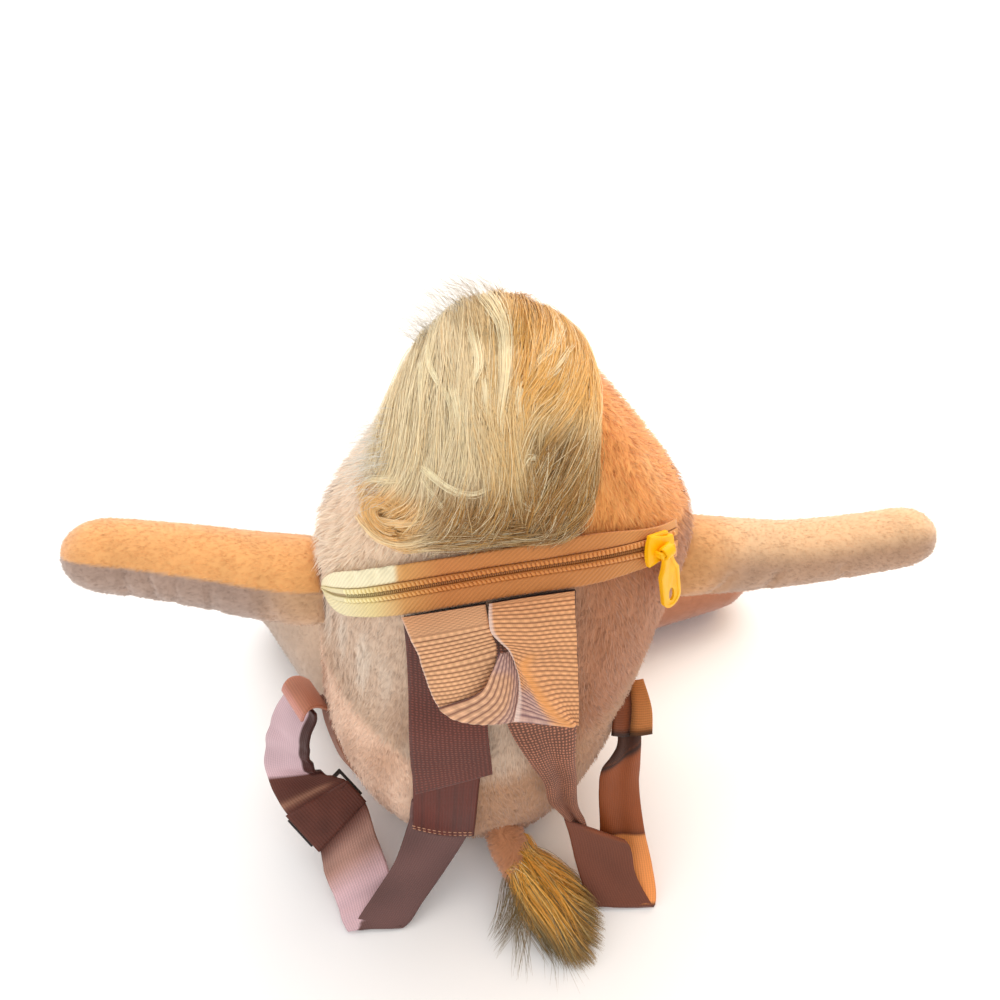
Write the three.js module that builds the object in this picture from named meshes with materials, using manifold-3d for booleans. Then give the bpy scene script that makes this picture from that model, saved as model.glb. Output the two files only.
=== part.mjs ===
// Plush animal backpack: a maned animal sitting upright, with a zipped pouch in its back.
// Millimetres, +Z up. The origin is the middle of the flat seat, and -Y is the back that is worn
// against the wearer, with the zipper, the grab loop and the two shoulder straps.
import * as THREE from "three";
import { mergeVertices } from "three/addons/utils/BufferGeometryUtils.js";
import Module from "manifold-3d";

const wasm = await Module();
wasm.setup();

const table = (columns, rows) =>
  rows.map((row) => Object.fromEntries(columns.map((name, i) => [name, row[i]])));
const vec = (x, y, z) => new THREE.Vector3(x, y, z);
const rad = THREE.MathUtils.degToRad;
const lerp = THREE.MathUtils.lerp;

// Gaps and cloth
const GAP = 0.4; // between pieces that touch
const WELD = 1e-4; // points closer than this are one
const WEB_WIDTH = 38; // woven webbing of the straps and the loop
const WEB_THICK = 1.8;
const WEB_COLUMNS = 5;
const LAYER = WEB_THICK + GAP;
const TAPE_THICK = 1.1;
const BACK_LIFT = 0.7; // from the plush to what lies on it
const FLOOR_CLEAR = 0.6; // soft pieces stop this far above the floor
const FLOOR = { side: 400, depth: 40 };

// Stuffed body and head: one gumdrop form that leans a little to its right
const BODY_POWER = 0.92; // below 1 is squarer than an ellipse
const BODY_SIDES = 32;
const BODY_ROWS = table(
  ["z", "halfWidth", "centreX", "centreY", "halfDepth"],
  [
    [0, 56, 0, 0, 54],
    [5, 69, 0, 0, 67],
    [20, 79, -1, 0, 78],
    [50, 89, 0, 0, 82],
    [90, 97, 3, 0, 82],
    [140, 98, 9, 1, 77],
    [190, 99, 17, 3, 71],
    [225, 100, 22, 5, 69],
    [245, 89, 23, 7, 66],
    [265, 74, 23, 9, 62],
    [285, 59, 22, 11, 56],
    [304, 43, 21, 13, 46],
    [319, 29, 20, 15, 33],
    [329, 17, 19, 16, 19],
    [333, 6, 19, 16, 7],
  ],
);
const BODY_TOP = BODY_ROWS.at(-1).z;
const POUCH_FLOOR = 28;
const POUCH_TOP = 262;
const POUCH_LEVELS = 9;
const POUCH_SIDES = 24;
const PAD_SIDE = 12; // plush and stuffing round the pouch
const PAD_BACK = 7; // thinner at the zipper
const PROBE = 0.5; // step of a slope measured on the body
const SEARCH_STEPS = 40;

// Zipper: an arch over the back, highest right of the middle
const ZIP_LEFT = -68;
const ZIP_RIGHT = 100;
const ZIP_CREST_X = 42;
const ZIP_CREST_Z = 249;
const ZIP_ARCH_RADIUS = 161;
const ZIP_STATIONS = 22;
const SLIT = { left: -52, right: 88, half: 4, outsideY: -95, insideY: -28, stations: 12 };
const CHAIN_HALF = 5.2;
const TAPE_UP = 11;
const TAPE_DOWN = 12.6;
const CHAIN_ACROSS = table(
  ["across", "lift"],
  [
    [-CHAIN_HALF, 1.7],
    [-3.6, 3.0],
    [-2, 1.9],
    [0, 1.3],
    [2, 1.9],
    [3.6, 3.0],
    [CHAIN_HALF, 1.7],
  ],
);

// Slider and pull, in a frame with X along the chain, Z across it and -Y outward
const SLIDER = { x: 86, turn: 30, drop: 12, lean: -20, clear: 4.3 };
const PLATE = { length: 14, width: 15.5, waist: 11, thick: 2.2, bevel: 0.5, nose: 0.5, heel: 0.33, curve: 4 };
const FLANGE = { thick: 1.6, drop: 1.4, shorter: 2 };
const BAR = { radius: 1.5, half: 4.6, post: 1.7, rise: 3.8, sides: 12 };
const PULL = { swing: 20, hang: 10, width: 12, length: 36, thick: 2.4, neck: 5.2, waist: 13, curve: 6 };
const PULL_EYE = { radius: 3.2, bore: 1.9, length: 5.4, sides: 14 };
const PULL_HOLE = { width: 3.8, length: 8.5, edge: 3.4 };

// Limbs: short-pile tubes, from inside the body to a round end
const TUBE = ["x", "y", "z", "radius"];
const LIMB_SIDES = 14;
const LIMB_END_ANGLES = [30, 55, 75]; // rings of the half ball at a free end
const LIMB_ROWS = {
  arm_left: table(TUBE, [
    [-62, -2, 184, 27],
    [-95, -2, 187, 27],
    [-140, 3, 195, 24.5],
    [-172, 7, 199.5, 23],
    [-196, 9, 202.5, 22.5],
  ]),
  arm_right: table(TUBE, [
    [96, 0, 190, 27],
    [133, 4, 184, 25],
    [188, 8, 177, 21.5],
    [240, 10, 181, 20],
    [256, 10, 184, 20],
  ]),
  leg_left: table(TUBE, [
    [-40, -22, 44, 30],
    [-80, 36, 40, 37],
    [-108, 76, 36, 34],
    [-132, 110, 34, 32],
    [-138, 119, 35, 33],
  ]),
  leg_right: table(TUBE, [
    [24, 48, 42, 30],
    [92, 86, 38, 35],
    [142, 104, 34, 31],
    [192, 119, 33, 31],
    [203, 123, 34, 32],
  ]),
};

// Mane: hair that runs over the crown and down the back of the head
const HEAD_CORE = vec(22, 8, 262); // directions over the head are taken from here
const MANE_CAP = {
  left: -57, // degrees to each side of the middle of the head
  right: 32,
  front: 118, // degrees over the top, from the level of the core at the back
  lowLeft: -6,
  lowRight: 10,
  rows: 8,
  columns: 7,
  inside: 1.7,
  outside: 4.6,
};
const MANE_TIERS = table(
  [
    "count", "left", "right", "root", "tipLeft", "tipRight", "stagger",
    "width", "height", "lift", "sweepLeft", "sweepRight",
  ],
  [
    [7, -57, 28, 94, -22, 9, 5, 13.5, 4.6, 6.2, -12, -3],
    [4, -42, 22, 100, 8, 27, 7, 14, 4.8, 8.2, -7, -2],
    [3, -26, 22, 90, 136, 134, 5, 13.5, 4.2, 5.4, 4, 1],
  ],
);
const LOCK = { tipLift: 1, rings: 6, sides: 5, root: 0.55, fullBy: 3, taper: 1.02 };

// Tail: a stuffed stem and a tuft that lies on the floor
const TAIL_ROWS = table(TUBE, [
  [12, -62, 32, 12],
  [17, -82, 22, 11.5],
  [24, -95, 14, 10.5],
  [29, -103, 12, 9.5],
]);
const TUFT = {
  count: 7,
  spread: 31,
  heading: -60,
  length: 62,
  middleGain: 0.5, // the outer locks are shorter by this share
  alternate: 0.86, // and every second one by this
  width: 10,
  height: 6,
  base: 9.5,
  rise: 3,
  tip: 4.5,
  droop: 0.8,
};

// Rows of webbing that lie on the back, from the middle of a strap's top
const LYING = ["shift", "z", "widen", "layers", "alongTape"];
const STRAP_TOP_LEFT = -12;
const STRAP_TOP_RIGHT = 29;
const STRAP_LEFT_UPPER = table(LYING, [
  [0, 200, 0, 0, 0],
  [-1, 170, 0, 0.5, 0],
  [-1, 146, 1, 2, 0],
  [-1, 116, 2, 2, 0.9],
]);
const STRAP_LEFT_MIDDLE = table(LYING, [
  [-5, 140, -2, 1, 0],
  [-6.5, 118, -2, 1, 0],
  [-8, 96, -2, 1, 0],
  [-9.5, 74, -2, 1, 0],
  [-11, 52, -2, 1, 0],
]);
const STRAP_LEFT_LOWER = table(LYING, [
  [-8, 78, -2, 0, 0],
  [-10, 62, -2, 0, 0],
  [-12, 46, -2, 0, 0],
]);
const STRAP_RIGHT_UPPER = table(LYING, [
  [1, 200, -1, 0, 0],
  [3, 174, -1, 0, 0],
  [6, 148, -2, 0, 0],
]);

// Stations of webbing that hangs free: its middle, and the turn and bank of its width in degrees
const STATION = ["x", "y", "z", "width", "turn", "bank"];
const LEFT_TO_FLOOR = table(STATION, [
  [-31, -94, 27, 37, -10, -6],
  [-44, -106, 14, 38, -12, -8],
  [-56, -116, 4, 40, -6, -3],
  [-61, -118.6, 1.9, 42, 0, 0],
  [-66, -114, 4.2, 40, 10, 3],
  [-74, -97, 11, 38, 24, 8],
  [-81, -80, 17, 38, 32, 8],
]);
const LEFT_TO_SIDE = table(STATION, [
  [-115, -41, 47, 38, 6, 22],
  [-118.5, -37, 60, 38, -22, 8],
  [-115, -31, 78, 38, -40, 0],
  [-110.5, -26.5, 87, 38, -45, 0],
  [-105.5, -22.5, 95, 38, -45, 0],
  [-104.4, -22, 101, 38, -45, 0],
]);
const LEFT_TAB = table(STATION, [
  [-110.5, -28.5, 94, 39, -45, 0],
  [-108, -26, 104, 39, -45, 0],
  [-104.5, -22.5, 108.5, 39, -45, 0],
  [-100, -18, 105, 39, -45, 0],
  [-96, -14, 91, 39, -45, 0],
]);
const RIGHT_BUNCHED = table(STATION, [
  [41, -80.5, 122, 31, 8, -12],
  [46, -82, 99, 24, 16, -22],
  [52, -81.5, 74, 18, 20, -28],
  [57, -80, 54, 15, 10, -24],
]);
const RIGHT_TO_SIDE = table(STATION, [
  [59.5, -80.5, 50, 16, 0, -24],
  [66, -86, 37, 33, -12, -14],
  [75, -100, 19, 37, -10, -8],
  [83, -113, 5, 38, -6, -2],
  [85.5, -116.6, 1.9, 38, -4, 0],
  [87.5, -113.5, 4, 38, -2, 0],
  [89.5, -99, 15, 37, 0, 0],
  [90, -82, 30, 35, -4, 4],
  [89, -66, 56, 30, 2, 8],
  [90, -60, 76, 18, 0, 10],
  [91.5, -59.5, 84, 15, 0, 8],
]);

// Right tab: two leaves that meet in a fold, from the strap to the side
const RIGHT_TAB = table(
  ["leftX", "leftY", "leftZ", "foldX", "foldY", "foldZ", "rightX", "rightY", "rightZ"],
  [
    [81, -54, 97, 91.5, -59.5, 87.5, 103, -55, 94],
    [84, -43, 106, 94, -49, 97, 105, -43, 103],
    [88, -28, 114, 95, -32, 108, 103, -27, 111],
  ],
);
const RIGHT_TAB_FACE = vec(0.25, -0.85, 0.45);

// Strap adjuster: a frame with a middle bar, and the weave of the strap through it
const ADJUSTER = { length: 22, width: 43, thick: 2.4, bar: 1.6, slot: 6.6, slotWidth: 39.4 };
const ADJUSTER_PLACE = { centre: vec(-97, -55, 31), along: vec(-0.66, 0.57, 0.49), turn: 44, bank: 6 };
const WEAVE = table(
  ["reach", "side"],
  [
    [-15, -1],
    [-8, -1],
    [-2.6, 1],
    [2.6, 1],
    [8, -1],
    [15, -1],
  ],
);

// Grab loop: webbing that leaves the seam, turns round one corner and goes back into the seam
const LOOP_CORNER = vec(11.7, -79, 219);
const LOOP_LEFT = vec(-1, 0, -0.12);
const LOOP_LEAN = 30; // degrees that the loop stands out from the back
const LOOP_SKEW = -0.05;
const LOOP_TURN = { end: 133, round: 95, steps: 10, widest: 57 };
const LOOP_RETURN = table(
  ["angle", "reach"],
  [
    [155, 44],
    [178, 38],
  ],
);

// Plain front of the head
const BALL_SIDES = 14;
const BALL_LEVELS = 9;
const MUZZLE = { lambda: 0, rho: 176, size: vec(30, 20, 21), sink: 5 };
const NOSE = { size: vec(9, 5, 6.5), up: 9, sink: 1 };
const EYE = { lambda: 26, rho: 152, size: 6, sink: 2 };

// Sections of the body at any height, smooth through the rows
const profile = new THREE.CubicInterpolant(
  BODY_ROWS.map((row) => row.z),
  BODY_ROWS.flatMap((row) => [row.halfWidth, row.centreX, row.centreY, row.halfDepth]),
  4,
);

function sectionAt(z) {
  const [halfWidth, centreX, centreY, halfDepth] = profile.evaluate(THREE.MathUtils.clamp(z, 0, BODY_TOP));
  return { halfWidth, centreX, centreY, halfDepth };
}

const squared = (value) => Math.sign(value) * Math.abs(value) ** BODY_POWER;

function sectionRing(z, sides, grow, shiftY = 0, growDepth = grow) {
  const s = sectionAt(z);
  return Array.from({ length: sides }, (_, i) => {
    const angle = (2 * Math.PI * i) / sides;
    return vec(
      s.centreX + (s.halfWidth + grow) * squared(Math.cos(angle)),
      s.centreY + shiftY + (s.halfDepth + growDepth) * squared(Math.sin(angle)),
      z,
    );
  });
}

// Below 0 inside the body, above 0 outside
function bodyField(p) {
  const s = sectionAt(p.z);
  const across = Math.abs((p.x - s.centreX) / s.halfWidth) ** (2 / BODY_POWER);
  const deep = Math.abs((p.y - s.centreY) / s.halfDepth) ** (2 / BODY_POWER);
  const beyond = Math.max(0, p.z - BODY_TOP) + Math.max(0, -p.z);
  return across + deep - 1 + beyond;
}

function bodyNormal(p) {
  const slope = (axis) => {
    const ahead = p.clone();
    const behind = p.clone();
    ahead[axis] += PROBE;
    behind[axis] -= PROBE;
    return bodyField(ahead) - bodyField(behind);
  };
  return vec(slope("x"), slope("y"), slope("z")).normalize();
}

// The point of the back at a width and a height, lifted off the plush
function onBack(x, z, lift) {
  const s = sectionAt(z);
  const side = Math.min(1, Math.abs((x - s.centreX) / s.halfWidth)) ** (2 / BODY_POWER);
  const p = vec(x, s.centreY - s.halfDepth * (1 - side) ** (BODY_POWER / 2), z);
  return p.addScaledVector(bodyNormal(p), lift);
}

// The point of the head in a direction: lambda is to the right, rho is up from the back and over the top
function onHead(lambda, rho, lift) {
  const level = Math.cos(rad(lambda));
  const aim = vec(Math.sin(rad(lambda)), -level * Math.cos(rad(rho)), level * Math.sin(rad(rho)));
  let near = 0;
  let far = BODY_TOP;
  for (let i = 0; i < SEARCH_STEPS; i++) {
    const middle = (near + far) / 2;
    if (bodyField(HEAD_CORE.clone().addScaledVector(aim, middle)) < 0) near = middle;
    else far = middle;
  }
  const p = HEAD_CORE.clone().addScaledVector(aim, near);
  return p.addScaledVector(bodyNormal(p), lift);
}

const zipHeight = (x) => ZIP_CREST_Z - (x - ZIP_CREST_X) ** 2 / (2 * ZIP_ARCH_RADIUS);

// Closed solids from rows of points

function geometryOf(points, faces) {
  const geometry = new THREE.BufferGeometry().setFromPoints(points);
  geometry.setIndex(faces.flat());
  let volume = 0;
  for (const [a, b, c] of faces) volume += points[a].dot(points[b].clone().cross(points[c]));
  if (volume < 0) geometry.setIndex(faces.flatMap(([a, b, c]) => [a, c, b]));
  return geometry;
}

// A skin over rings of equal counts, closed at both ends
function skin(rings) {
  const sides = rings[0].length;
  const points = rings.flat();
  const faces = [];
  for (let r = 0; r + 1 < rings.length; r++) {
    for (let i = 0; i < sides; i++) {
      const a = r * sides + i;
      const b = r * sides + ((i + 1) % sides);
      faces.push([a, b, b + sides], [a, b + sides, a + sides]);
    }
  }
  const close = (ring, first, flip) => {
    const middle = points.length;
    points.push(ring.reduce((sum, p) => sum.add(p), vec(0, 0, 0)).divideScalar(sides));
    for (let i = 0; i < sides; i++) {
      const a = first + i;
      const b = first + ((i + 1) % sides);
      faces.push(flip ? [middle, b, a] : [middle, a, b]);
    }
  };
  close(rings[0], 0, true);
  close(rings.at(-1), (rings.length - 1) * sides, false);
  return geometryOf(points, faces);
}

// A sheet between two grids of points, front and back, with closed edges
function sheet(front, back) {
  const rows = front.length;
  const columns = front[0].length;
  const points = [...front.flat(), ...back.flat()];
  const at = (side, r, c) => side * rows * columns + r * columns + c;
  const faces = [];
  const quad = (a, b, c, d) => faces.push([a, b, c], [a, c, d]);
  for (let r = 0; r + 1 < rows; r++) {
    for (let c = 0; c + 1 < columns; c++) {
      quad(at(0, r, c), at(0, r, c + 1), at(0, r + 1, c + 1), at(0, r + 1, c));
      quad(at(1, r, c), at(1, r + 1, c), at(1, r + 1, c + 1), at(1, r, c + 1));
    }
    const last = columns - 1;
    quad(at(0, r, 0), at(0, r + 1, 0), at(1, r + 1, 0), at(1, r, 0));
    quad(at(0, r, last), at(1, r, last), at(1, r + 1, last), at(0, r + 1, last));
  }
  for (let c = 0; c + 1 < columns; c++) {
    const last = rows - 1;
    quad(at(0, 0, c), at(1, 0, c), at(1, 0, c + 1), at(0, 0, c + 1));
    quad(at(0, last, c), at(0, last, c + 1), at(1, last, c + 1), at(1, last, c));
  }
  return geometryOf(points, faces);
}

function solid(geometry) {
  const bare = geometry.clone();
  bare.deleteAttribute("normal");
  bare.deleteAttribute("uv");
  const merged = mergeVertices(bare, WELD);
  return new wasm.Manifold(
    new wasm.Mesh({
      numProp: 3,
      vertProperties: new Float32Array(merged.attributes.position.array),
      triVerts: new Uint32Array(merged.index.array),
    }),
  );
}

function fromSolid(shape) {
  const mesh = shape.getMesh();
  const geometry = new THREE.BufferGeometry();
  geometry.setAttribute("position", new THREE.BufferAttribute(mesh.vertProperties, 3));
  geometry.setIndex(new THREE.BufferAttribute(mesh.triVerts, 1));
  return geometry;
}

const join = (shapes) => shapes.reduce((all, shape) => all.add(shape));

// The outer body alone: the pockets shut in between locks of hair are filled
const outer = (shape) => shape.decompose().reduce((a, b) => (b.volume() > a.volume() ? b : a));

// Body: the outer form, less the pouch and the zipper's slit into it

function bodyLevels() {
  return BODY_ROWS.flatMap((row, i) => (i ? [(row.z + BODY_ROWS[i - 1].z) / 2, row.z] : [row.z]));
}

const bodyForm = (grow) => solid(skin(bodyLevels().map((z) => sectionRing(z, BODY_SIDES, grow))));

function pouchForm() {
  const depth = -(PAD_SIDE + PAD_BACK) / 2;
  const rings = Array.from({ length: POUCH_LEVELS }, (_, i) => {
    const z = lerp(POUCH_FLOOR, POUCH_TOP, i / (POUCH_LEVELS - 1));
    return sectionRing(z, POUCH_SIDES, -PAD_SIDE, (PAD_BACK - PAD_SIDE) / 2, depth);
  });
  return solid(skin(rings));
}

function slitForm() {
  const rings = Array.from({ length: SLIT.stations }, (_, i) => {
    const x = lerp(SLIT.left, SLIT.right, i / (SLIT.stations - 1));
    const z = zipHeight(x);
    return [
      vec(x, SLIT.outsideY, z - SLIT.half),
      vec(x, SLIT.insideY, z - SLIT.half),
      vec(x, SLIT.insideY, z + SLIT.half),
      vec(x, SLIT.outsideY, z + SLIT.half),
    ];
  });
  return solid(skin(rings));
}

const outsideBody = bodyForm(GAP); // what lies on the plush is cut by this

const body = () => fromSolid(bodyForm(0).subtract(pouchForm()).subtract(slitForm()));

// Zipper: two tapes and the closed chain between them, all following the back

function zipStrip(across) {
  const front = [];
  const back = [];
  for (let i = 0; i < ZIP_STATIONS; i++) {
    const s = i / (ZIP_STATIONS - 1);
    const x = lerp(ZIP_LEFT, ZIP_RIGHT, (1 - Math.cos(Math.PI * s)) / 2);
    const z = zipHeight(x);
    front.push(across.map((point) => onBack(x, z + point.across, point.lift)));
    back.push(across.map((point) => onBack(x, z + point.across, BACK_LIFT)));
  }
  return sheet(front, back);
}

function tape(inner, outerEdge) {
  const steps = [inner, (inner + outerEdge) / 2, outerEdge];
  return zipStrip(steps.map((across) => ({ across, lift: BACK_LIFT + TAPE_THICK })));
}

const tapeUpper = () => tape(CHAIN_HALF + GAP, TAPE_UP);
const tapeLower = () => tape(-TAPE_DOWN, -CHAIN_HALF - GAP);
const chain = () => zipStrip(CHAIN_ACROSS);

// Slider: a flared plate over the chain with side flanges and a bar that carries the pull

function box(x, y, z, atX, atY, atZ) {
  return solid(new THREE.BoxGeometry(x, y, z).translate(atX, atY, atZ));
}

function rod(radius, length, sides, atY) {
  const upright = new THREE.CylinderGeometry(radius, radius, length, sides);
  return solid(upright.rotateZ(Math.PI / 2).translate(0, atY, 0));
}

const plateTop = -(SLIDER.clear + PLATE.thick);
const barY = plateTop - BAR.rise;

function slider() {
  const long = PLATE.length / 2;
  const wide = PLATE.width / 2;
  const waist = PLATE.waist / 2;
  const outline = new THREE.Shape();
  outline.moveTo(-long, -wide);
  outline.quadraticCurveTo(0, -waist, long, -waist);
  outline.quadraticCurveTo(long + PLATE.nose * waist, 0, long, waist);
  outline.quadraticCurveTo(0, waist, -long, wide);
  outline.quadraticCurveTo(-long - PLATE.heel * waist, 0, -long, -wide);
  const plate = new THREE.ExtrudeGeometry(outline, {
    depth: PLATE.thick - 2 * PLATE.bevel,
    bevelThickness: PLATE.bevel,
    bevelSize: PLATE.bevel,
    bevelSegments: 1,
    curveSegments: PLATE.curve,
  });
  plate.rotateX(Math.PI / 2).translate(0, plateTop + PLATE.thick - PLATE.bevel, 0);
  const pieces = [solid(plate)];
  const bridge = [rod(BAR.radius, 2 * BAR.half, BAR.sides, barY)];
  const postHeight = BAR.rise + BAR.radius + PLATE.bevel;
  const postY = plateTop + PLATE.bevel - postHeight / 2;
  const flangeY = -(SLIDER.clear - FLANGE.drop / 2 + PLATE.bevel);
  for (const side of [-1, 1]) {
    const flangeZ = side * (CHAIN_HALF + GAP + FLANGE.thick / 2);
    const flangeHeight = FLANGE.drop + 2 * PLATE.bevel;
    pieces.push(box(PLATE.length - FLANGE.shorter, flangeHeight, FLANGE.thick, 0, flangeY, flangeZ));
    const postX = side * (BAR.half - BAR.post / 2);
    bridge.push(box(BAR.post, postHeight, 2 * BAR.radius, postX, postY, 0));
  }
  const swung = fromSolid(join(bridge)).rotateY(rad(-PULL.swing));
  return fromSolid(join([...pieces, solid(swung)]));
}

// Pull: an eye round the bar and a tapered tab with an oval hole, hanging with its end near the plush
function pull() {
  const half = PULL.width / 2;
  const neck = PULL.neck / 2;
  const end = -PULL.length + half;
  const outline = new THREE.Shape();
  outline.moveTo(-neck, 0);
  outline.quadraticCurveTo(-neck, -PULL.waist / 2, -half, -PULL.waist);
  outline.lineTo(-half, end);
  outline.absarc(0, end, half, Math.PI, 2 * Math.PI, false);
  outline.lineTo(half, -PULL.waist);
  outline.quadraticCurveTo(neck, -PULL.waist / 2, neck, 0);
  const hole = new THREE.Path();
  const holeY = -PULL.length + PULL_HOLE.edge + PULL_HOLE.length / 2;
  hole.absellipse(0, holeY, PULL_HOLE.width / 2, PULL_HOLE.length / 2, 0, 2 * Math.PI, true);
  outline.holes.push(hole);
  const tab = new THREE.ExtrudeGeometry(outline, {
    depth: PULL.thick,
    bevelEnabled: false,
    curveSegments: PULL.curve,
  });
  tab.rotateX(Math.PI / 2).translate(0, PULL.thick / 2, 0);
  const barrel = rod(PULL_EYE.radius, PULL_EYE.length, PULL_EYE.sides, 0);
  const bore = rod(PULL_EYE.bore, 2 * PULL_EYE.length, PULL_EYE.sides, 0);
  return fromSolid(barrel.add(solid(tab)).subtract(bore));
}

// Limbs and stem: round sections along the rows, and a half ball at the free end
function stuffedTube(rows) {
  const path = new THREE.CatmullRomCurve3(rows.map((row) => vec(row.x, row.y, row.z)));
  const last = rows.length - 1;
  const stations = rows.flatMap((row, i) => (i < last ? [i, i + 0.5] : [i]));
  const ringAt = (centre, along, radius) => {
    const side = vec(0, 0, 1).cross(along).normalize();
    const up = along.clone().cross(side);
    return Array.from({ length: LIMB_SIDES }, (_, k) => {
      const angle = (2 * Math.PI * k) / LIMB_SIDES;
      return centre
        .clone()
        .addScaledVector(side, radius * Math.cos(angle))
        .addScaledVector(up, radius * Math.sin(angle));
    });
  };
  const rings = stations.map((station) => {
    const low = rows[Math.floor(station)];
    const high = rows[Math.ceil(station)];
    const t = station / last;
    return ringAt(path.getPoint(t), path.getTangent(t), lerp(low.radius, high.radius, station % 1));
  });
  const tip = rows[last];
  const along = path.getTangent(1);
  for (const angle of LIMB_END_ANGLES) {
    const centre = path.getPoint(1).addScaledVector(along, tip.radius * Math.sin(rad(angle)));
    rings.push(ringAt(centre, along, tip.radius * Math.cos(rad(angle))));
  }
  for (const p of rings.flat()) p.z = Math.max(p.z, FLOOR_CLEAR);
  return solid(skin(rings));
}

const limb = (name) => fromSolid(stuffedTube(LIMB_ROWS[name]).subtract(outsideBody));
const tailStem = () => fromSolid(stuffedTube(TAIL_ROWS).subtract(outsideBody));

// Hair: a lock is an oval section that swells and tapers along its points
function lock(points, normals, width, height) {
  const last = points.length - 1;
  const rings = points.map((p, i) => {
    const ahead = points[Math.min(i + 1, last)];
    const behind = points[Math.max(i - 1, 0)];
    const side = ahead.clone().sub(behind).cross(normals[i]).normalize();
    const s = i / last;
    const swell = lerp(LOCK.root, 1, Math.min(1, LOCK.fullBy * s)) * Math.sqrt(LOCK.taper - s ** 3);
    return Array.from({ length: LOCK.sides }, (_, k) => {
      const angle = (2 * Math.PI * k) / LOCK.sides;
      return p
        .clone()
        .addScaledVector(side, width * swell * Math.cos(angle))
        .addScaledVector(normals[i], height * swell * Math.sin(angle));
    });
  });
  return solid(skin(rings));
}

function maneCap() {
  const grid = (lift) =>
    Array.from({ length: MANE_CAP.rows }, (_, r) =>
      Array.from({ length: MANE_CAP.columns }, (_, c) => {
        const f = c / (MANE_CAP.columns - 1);
        const low = lerp(MANE_CAP.lowLeft, MANE_CAP.lowRight, f);
        const rho = lerp(low, MANE_CAP.front, r / (MANE_CAP.rows - 1));
        return onHead(lerp(MANE_CAP.left, MANE_CAP.right, f), rho, lift);
      }),
    );
  return solid(sheet(grid(MANE_CAP.outside), grid(MANE_CAP.inside)));
}

function maneTier(tier) {
  return Array.from({ length: tier.count }, (_, i) => {
    const f = i / (tier.count - 1);
    const lambda = lerp(tier.left, tier.right, f);
    const sweep = lerp(tier.sweepLeft, tier.sweepRight, f);
    const tip = lerp(tier.tipLeft, tier.tipRight, f) + tier.stagger * ((i % 2) - 0.5);
    const points = [];
    const normals = [];
    for (let k = 0; k < LOCK.rings; k++) {
      const s = k / (LOCK.rings - 1);
      const p = onHead(lambda + sweep * s ** 2, lerp(tier.root, tip, s), tier.lift + LOCK.tipLift * s ** 2);
      points.push(p);
      normals.push(bodyNormal(p));
    }
    return lock(points, normals, tier.width, tier.height);
  });
}

const mane = () => fromSolid(outer(join([maneCap(), ...MANE_TIERS.flatMap(maneTier)]).subtract(outsideBody)));

function tailTuft() {
  const end = TAIL_ROWS.at(-1);
  const locks = Array.from({ length: TUFT.count }, (_, i) => {
    const odd = i % 2;
    const f = i / (TUFT.count - 1) - 0.5;
    const heading = rad(TUFT.heading + 2 * TUFT.spread * f);
    const long = TUFT.length * (1 - TUFT.middleGain * Math.abs(f)) * lerp(TUFT.alternate, 1, odd);
    const points = [];
    const normals = [];
    for (let k = 0; k < LOCK.rings; k++) {
      const s = k / (LOCK.rings - 1);
      const height = lerp(TUFT.base + TUFT.rise * odd, TUFT.tip, s ** TUFT.droop);
      points.push(vec(end.x + long * s * Math.cos(heading), end.y + long * s * Math.sin(heading), height));
      normals.push(vec(0, 0, 1));
    }
    return lock(points, normals, TUFT.width, TUFT.height);
  });
  const stem = stuffedTube(TAIL_ROWS.map((row) => ({ ...row, radius: row.radius + GAP })));
  const floor = box(FLOOR.side, FLOOR.side, FLOOR.depth, 0, 0, FLOOR_CLEAR - FLOOR.depth / 2);
  return fromSolid(outer(join(locks).subtract(stem).subtract(floor)));
}

// Webbing: rows of points across, on the back or free in the air

const columnAt = (c) => c / (WEB_COLUMNS - 1) - 0.5;
const webRow = (pointAt) => Array.from({ length: WEB_COLUMNS }, (_, c) => pointAt(columnAt(c)));

// A row that lies on the back, straight across or along the zipper's lower tape
function backRow(x, z, width, lift, alongTape) {
  const pointAt = (column, height) => {
    const across = x + width * column;
    return onBack(across, z + alongTape * (zipHeight(across) - zipHeight(x)), height);
  };
  return {
    front: webRow((column) => pointAt(column, lift + WEB_THICK)),
    back: webRow((column) => pointAt(column, lift)),
    centre: onBack(x, z, lift + WEB_THICK / 2),
  };
}

const lyingRows = (x, rows) =>
  rows.map((row) =>
    backRow(x + row.shift, row.z, WEB_WIDTH + row.widen, BACK_LIFT + row.layers * LAYER, row.alongTape),
  );

const seamAt = (x) => zipHeight(x) - TAPE_DOWN - 2 * GAP; // top edge of what hangs below the tape
const seamRow = (x, layers) => backRow(x, seamAt(x) - 1 + layers, WEB_WIDTH, BACK_LIFT + layers * LAYER, 1);

// A free row keeps its aim until its neighbours are known
function freeRow(station) {
  const turn = rad(station.turn);
  const bank = rad(station.bank);
  const aim = vec(Math.cos(turn) * Math.cos(bank), Math.sin(turn) * Math.cos(bank), Math.sin(bank));
  return { aim, width: station.width, centre: vec(station.x, station.y, station.z) };
}

function webbing(rows) {
  const last = rows.length - 1;
  const done = rows.map((row, i) => {
    if (row.front) return row;
    const along = rows[Math.min(i + 1, last)].centre.clone().sub(rows[Math.max(i - 1, 0)].centre);
    const normal = along.cross(row.aim).normalize();
    const side = (lift) =>
      webRow((column) =>
        row.centre
          .clone()
          .addScaledVector(row.aim, row.width * column)
          .addScaledVector(normal, lift),
      );
    return { front: side(WEB_THICK / 2), back: side(-WEB_THICK / 2) };
  });
  const grids = [done.map((row) => row.front), done.map((row) => row.back)];
  return fromSolid(solid(sheet(...grids)).subtract(outsideBody));
}

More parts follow.
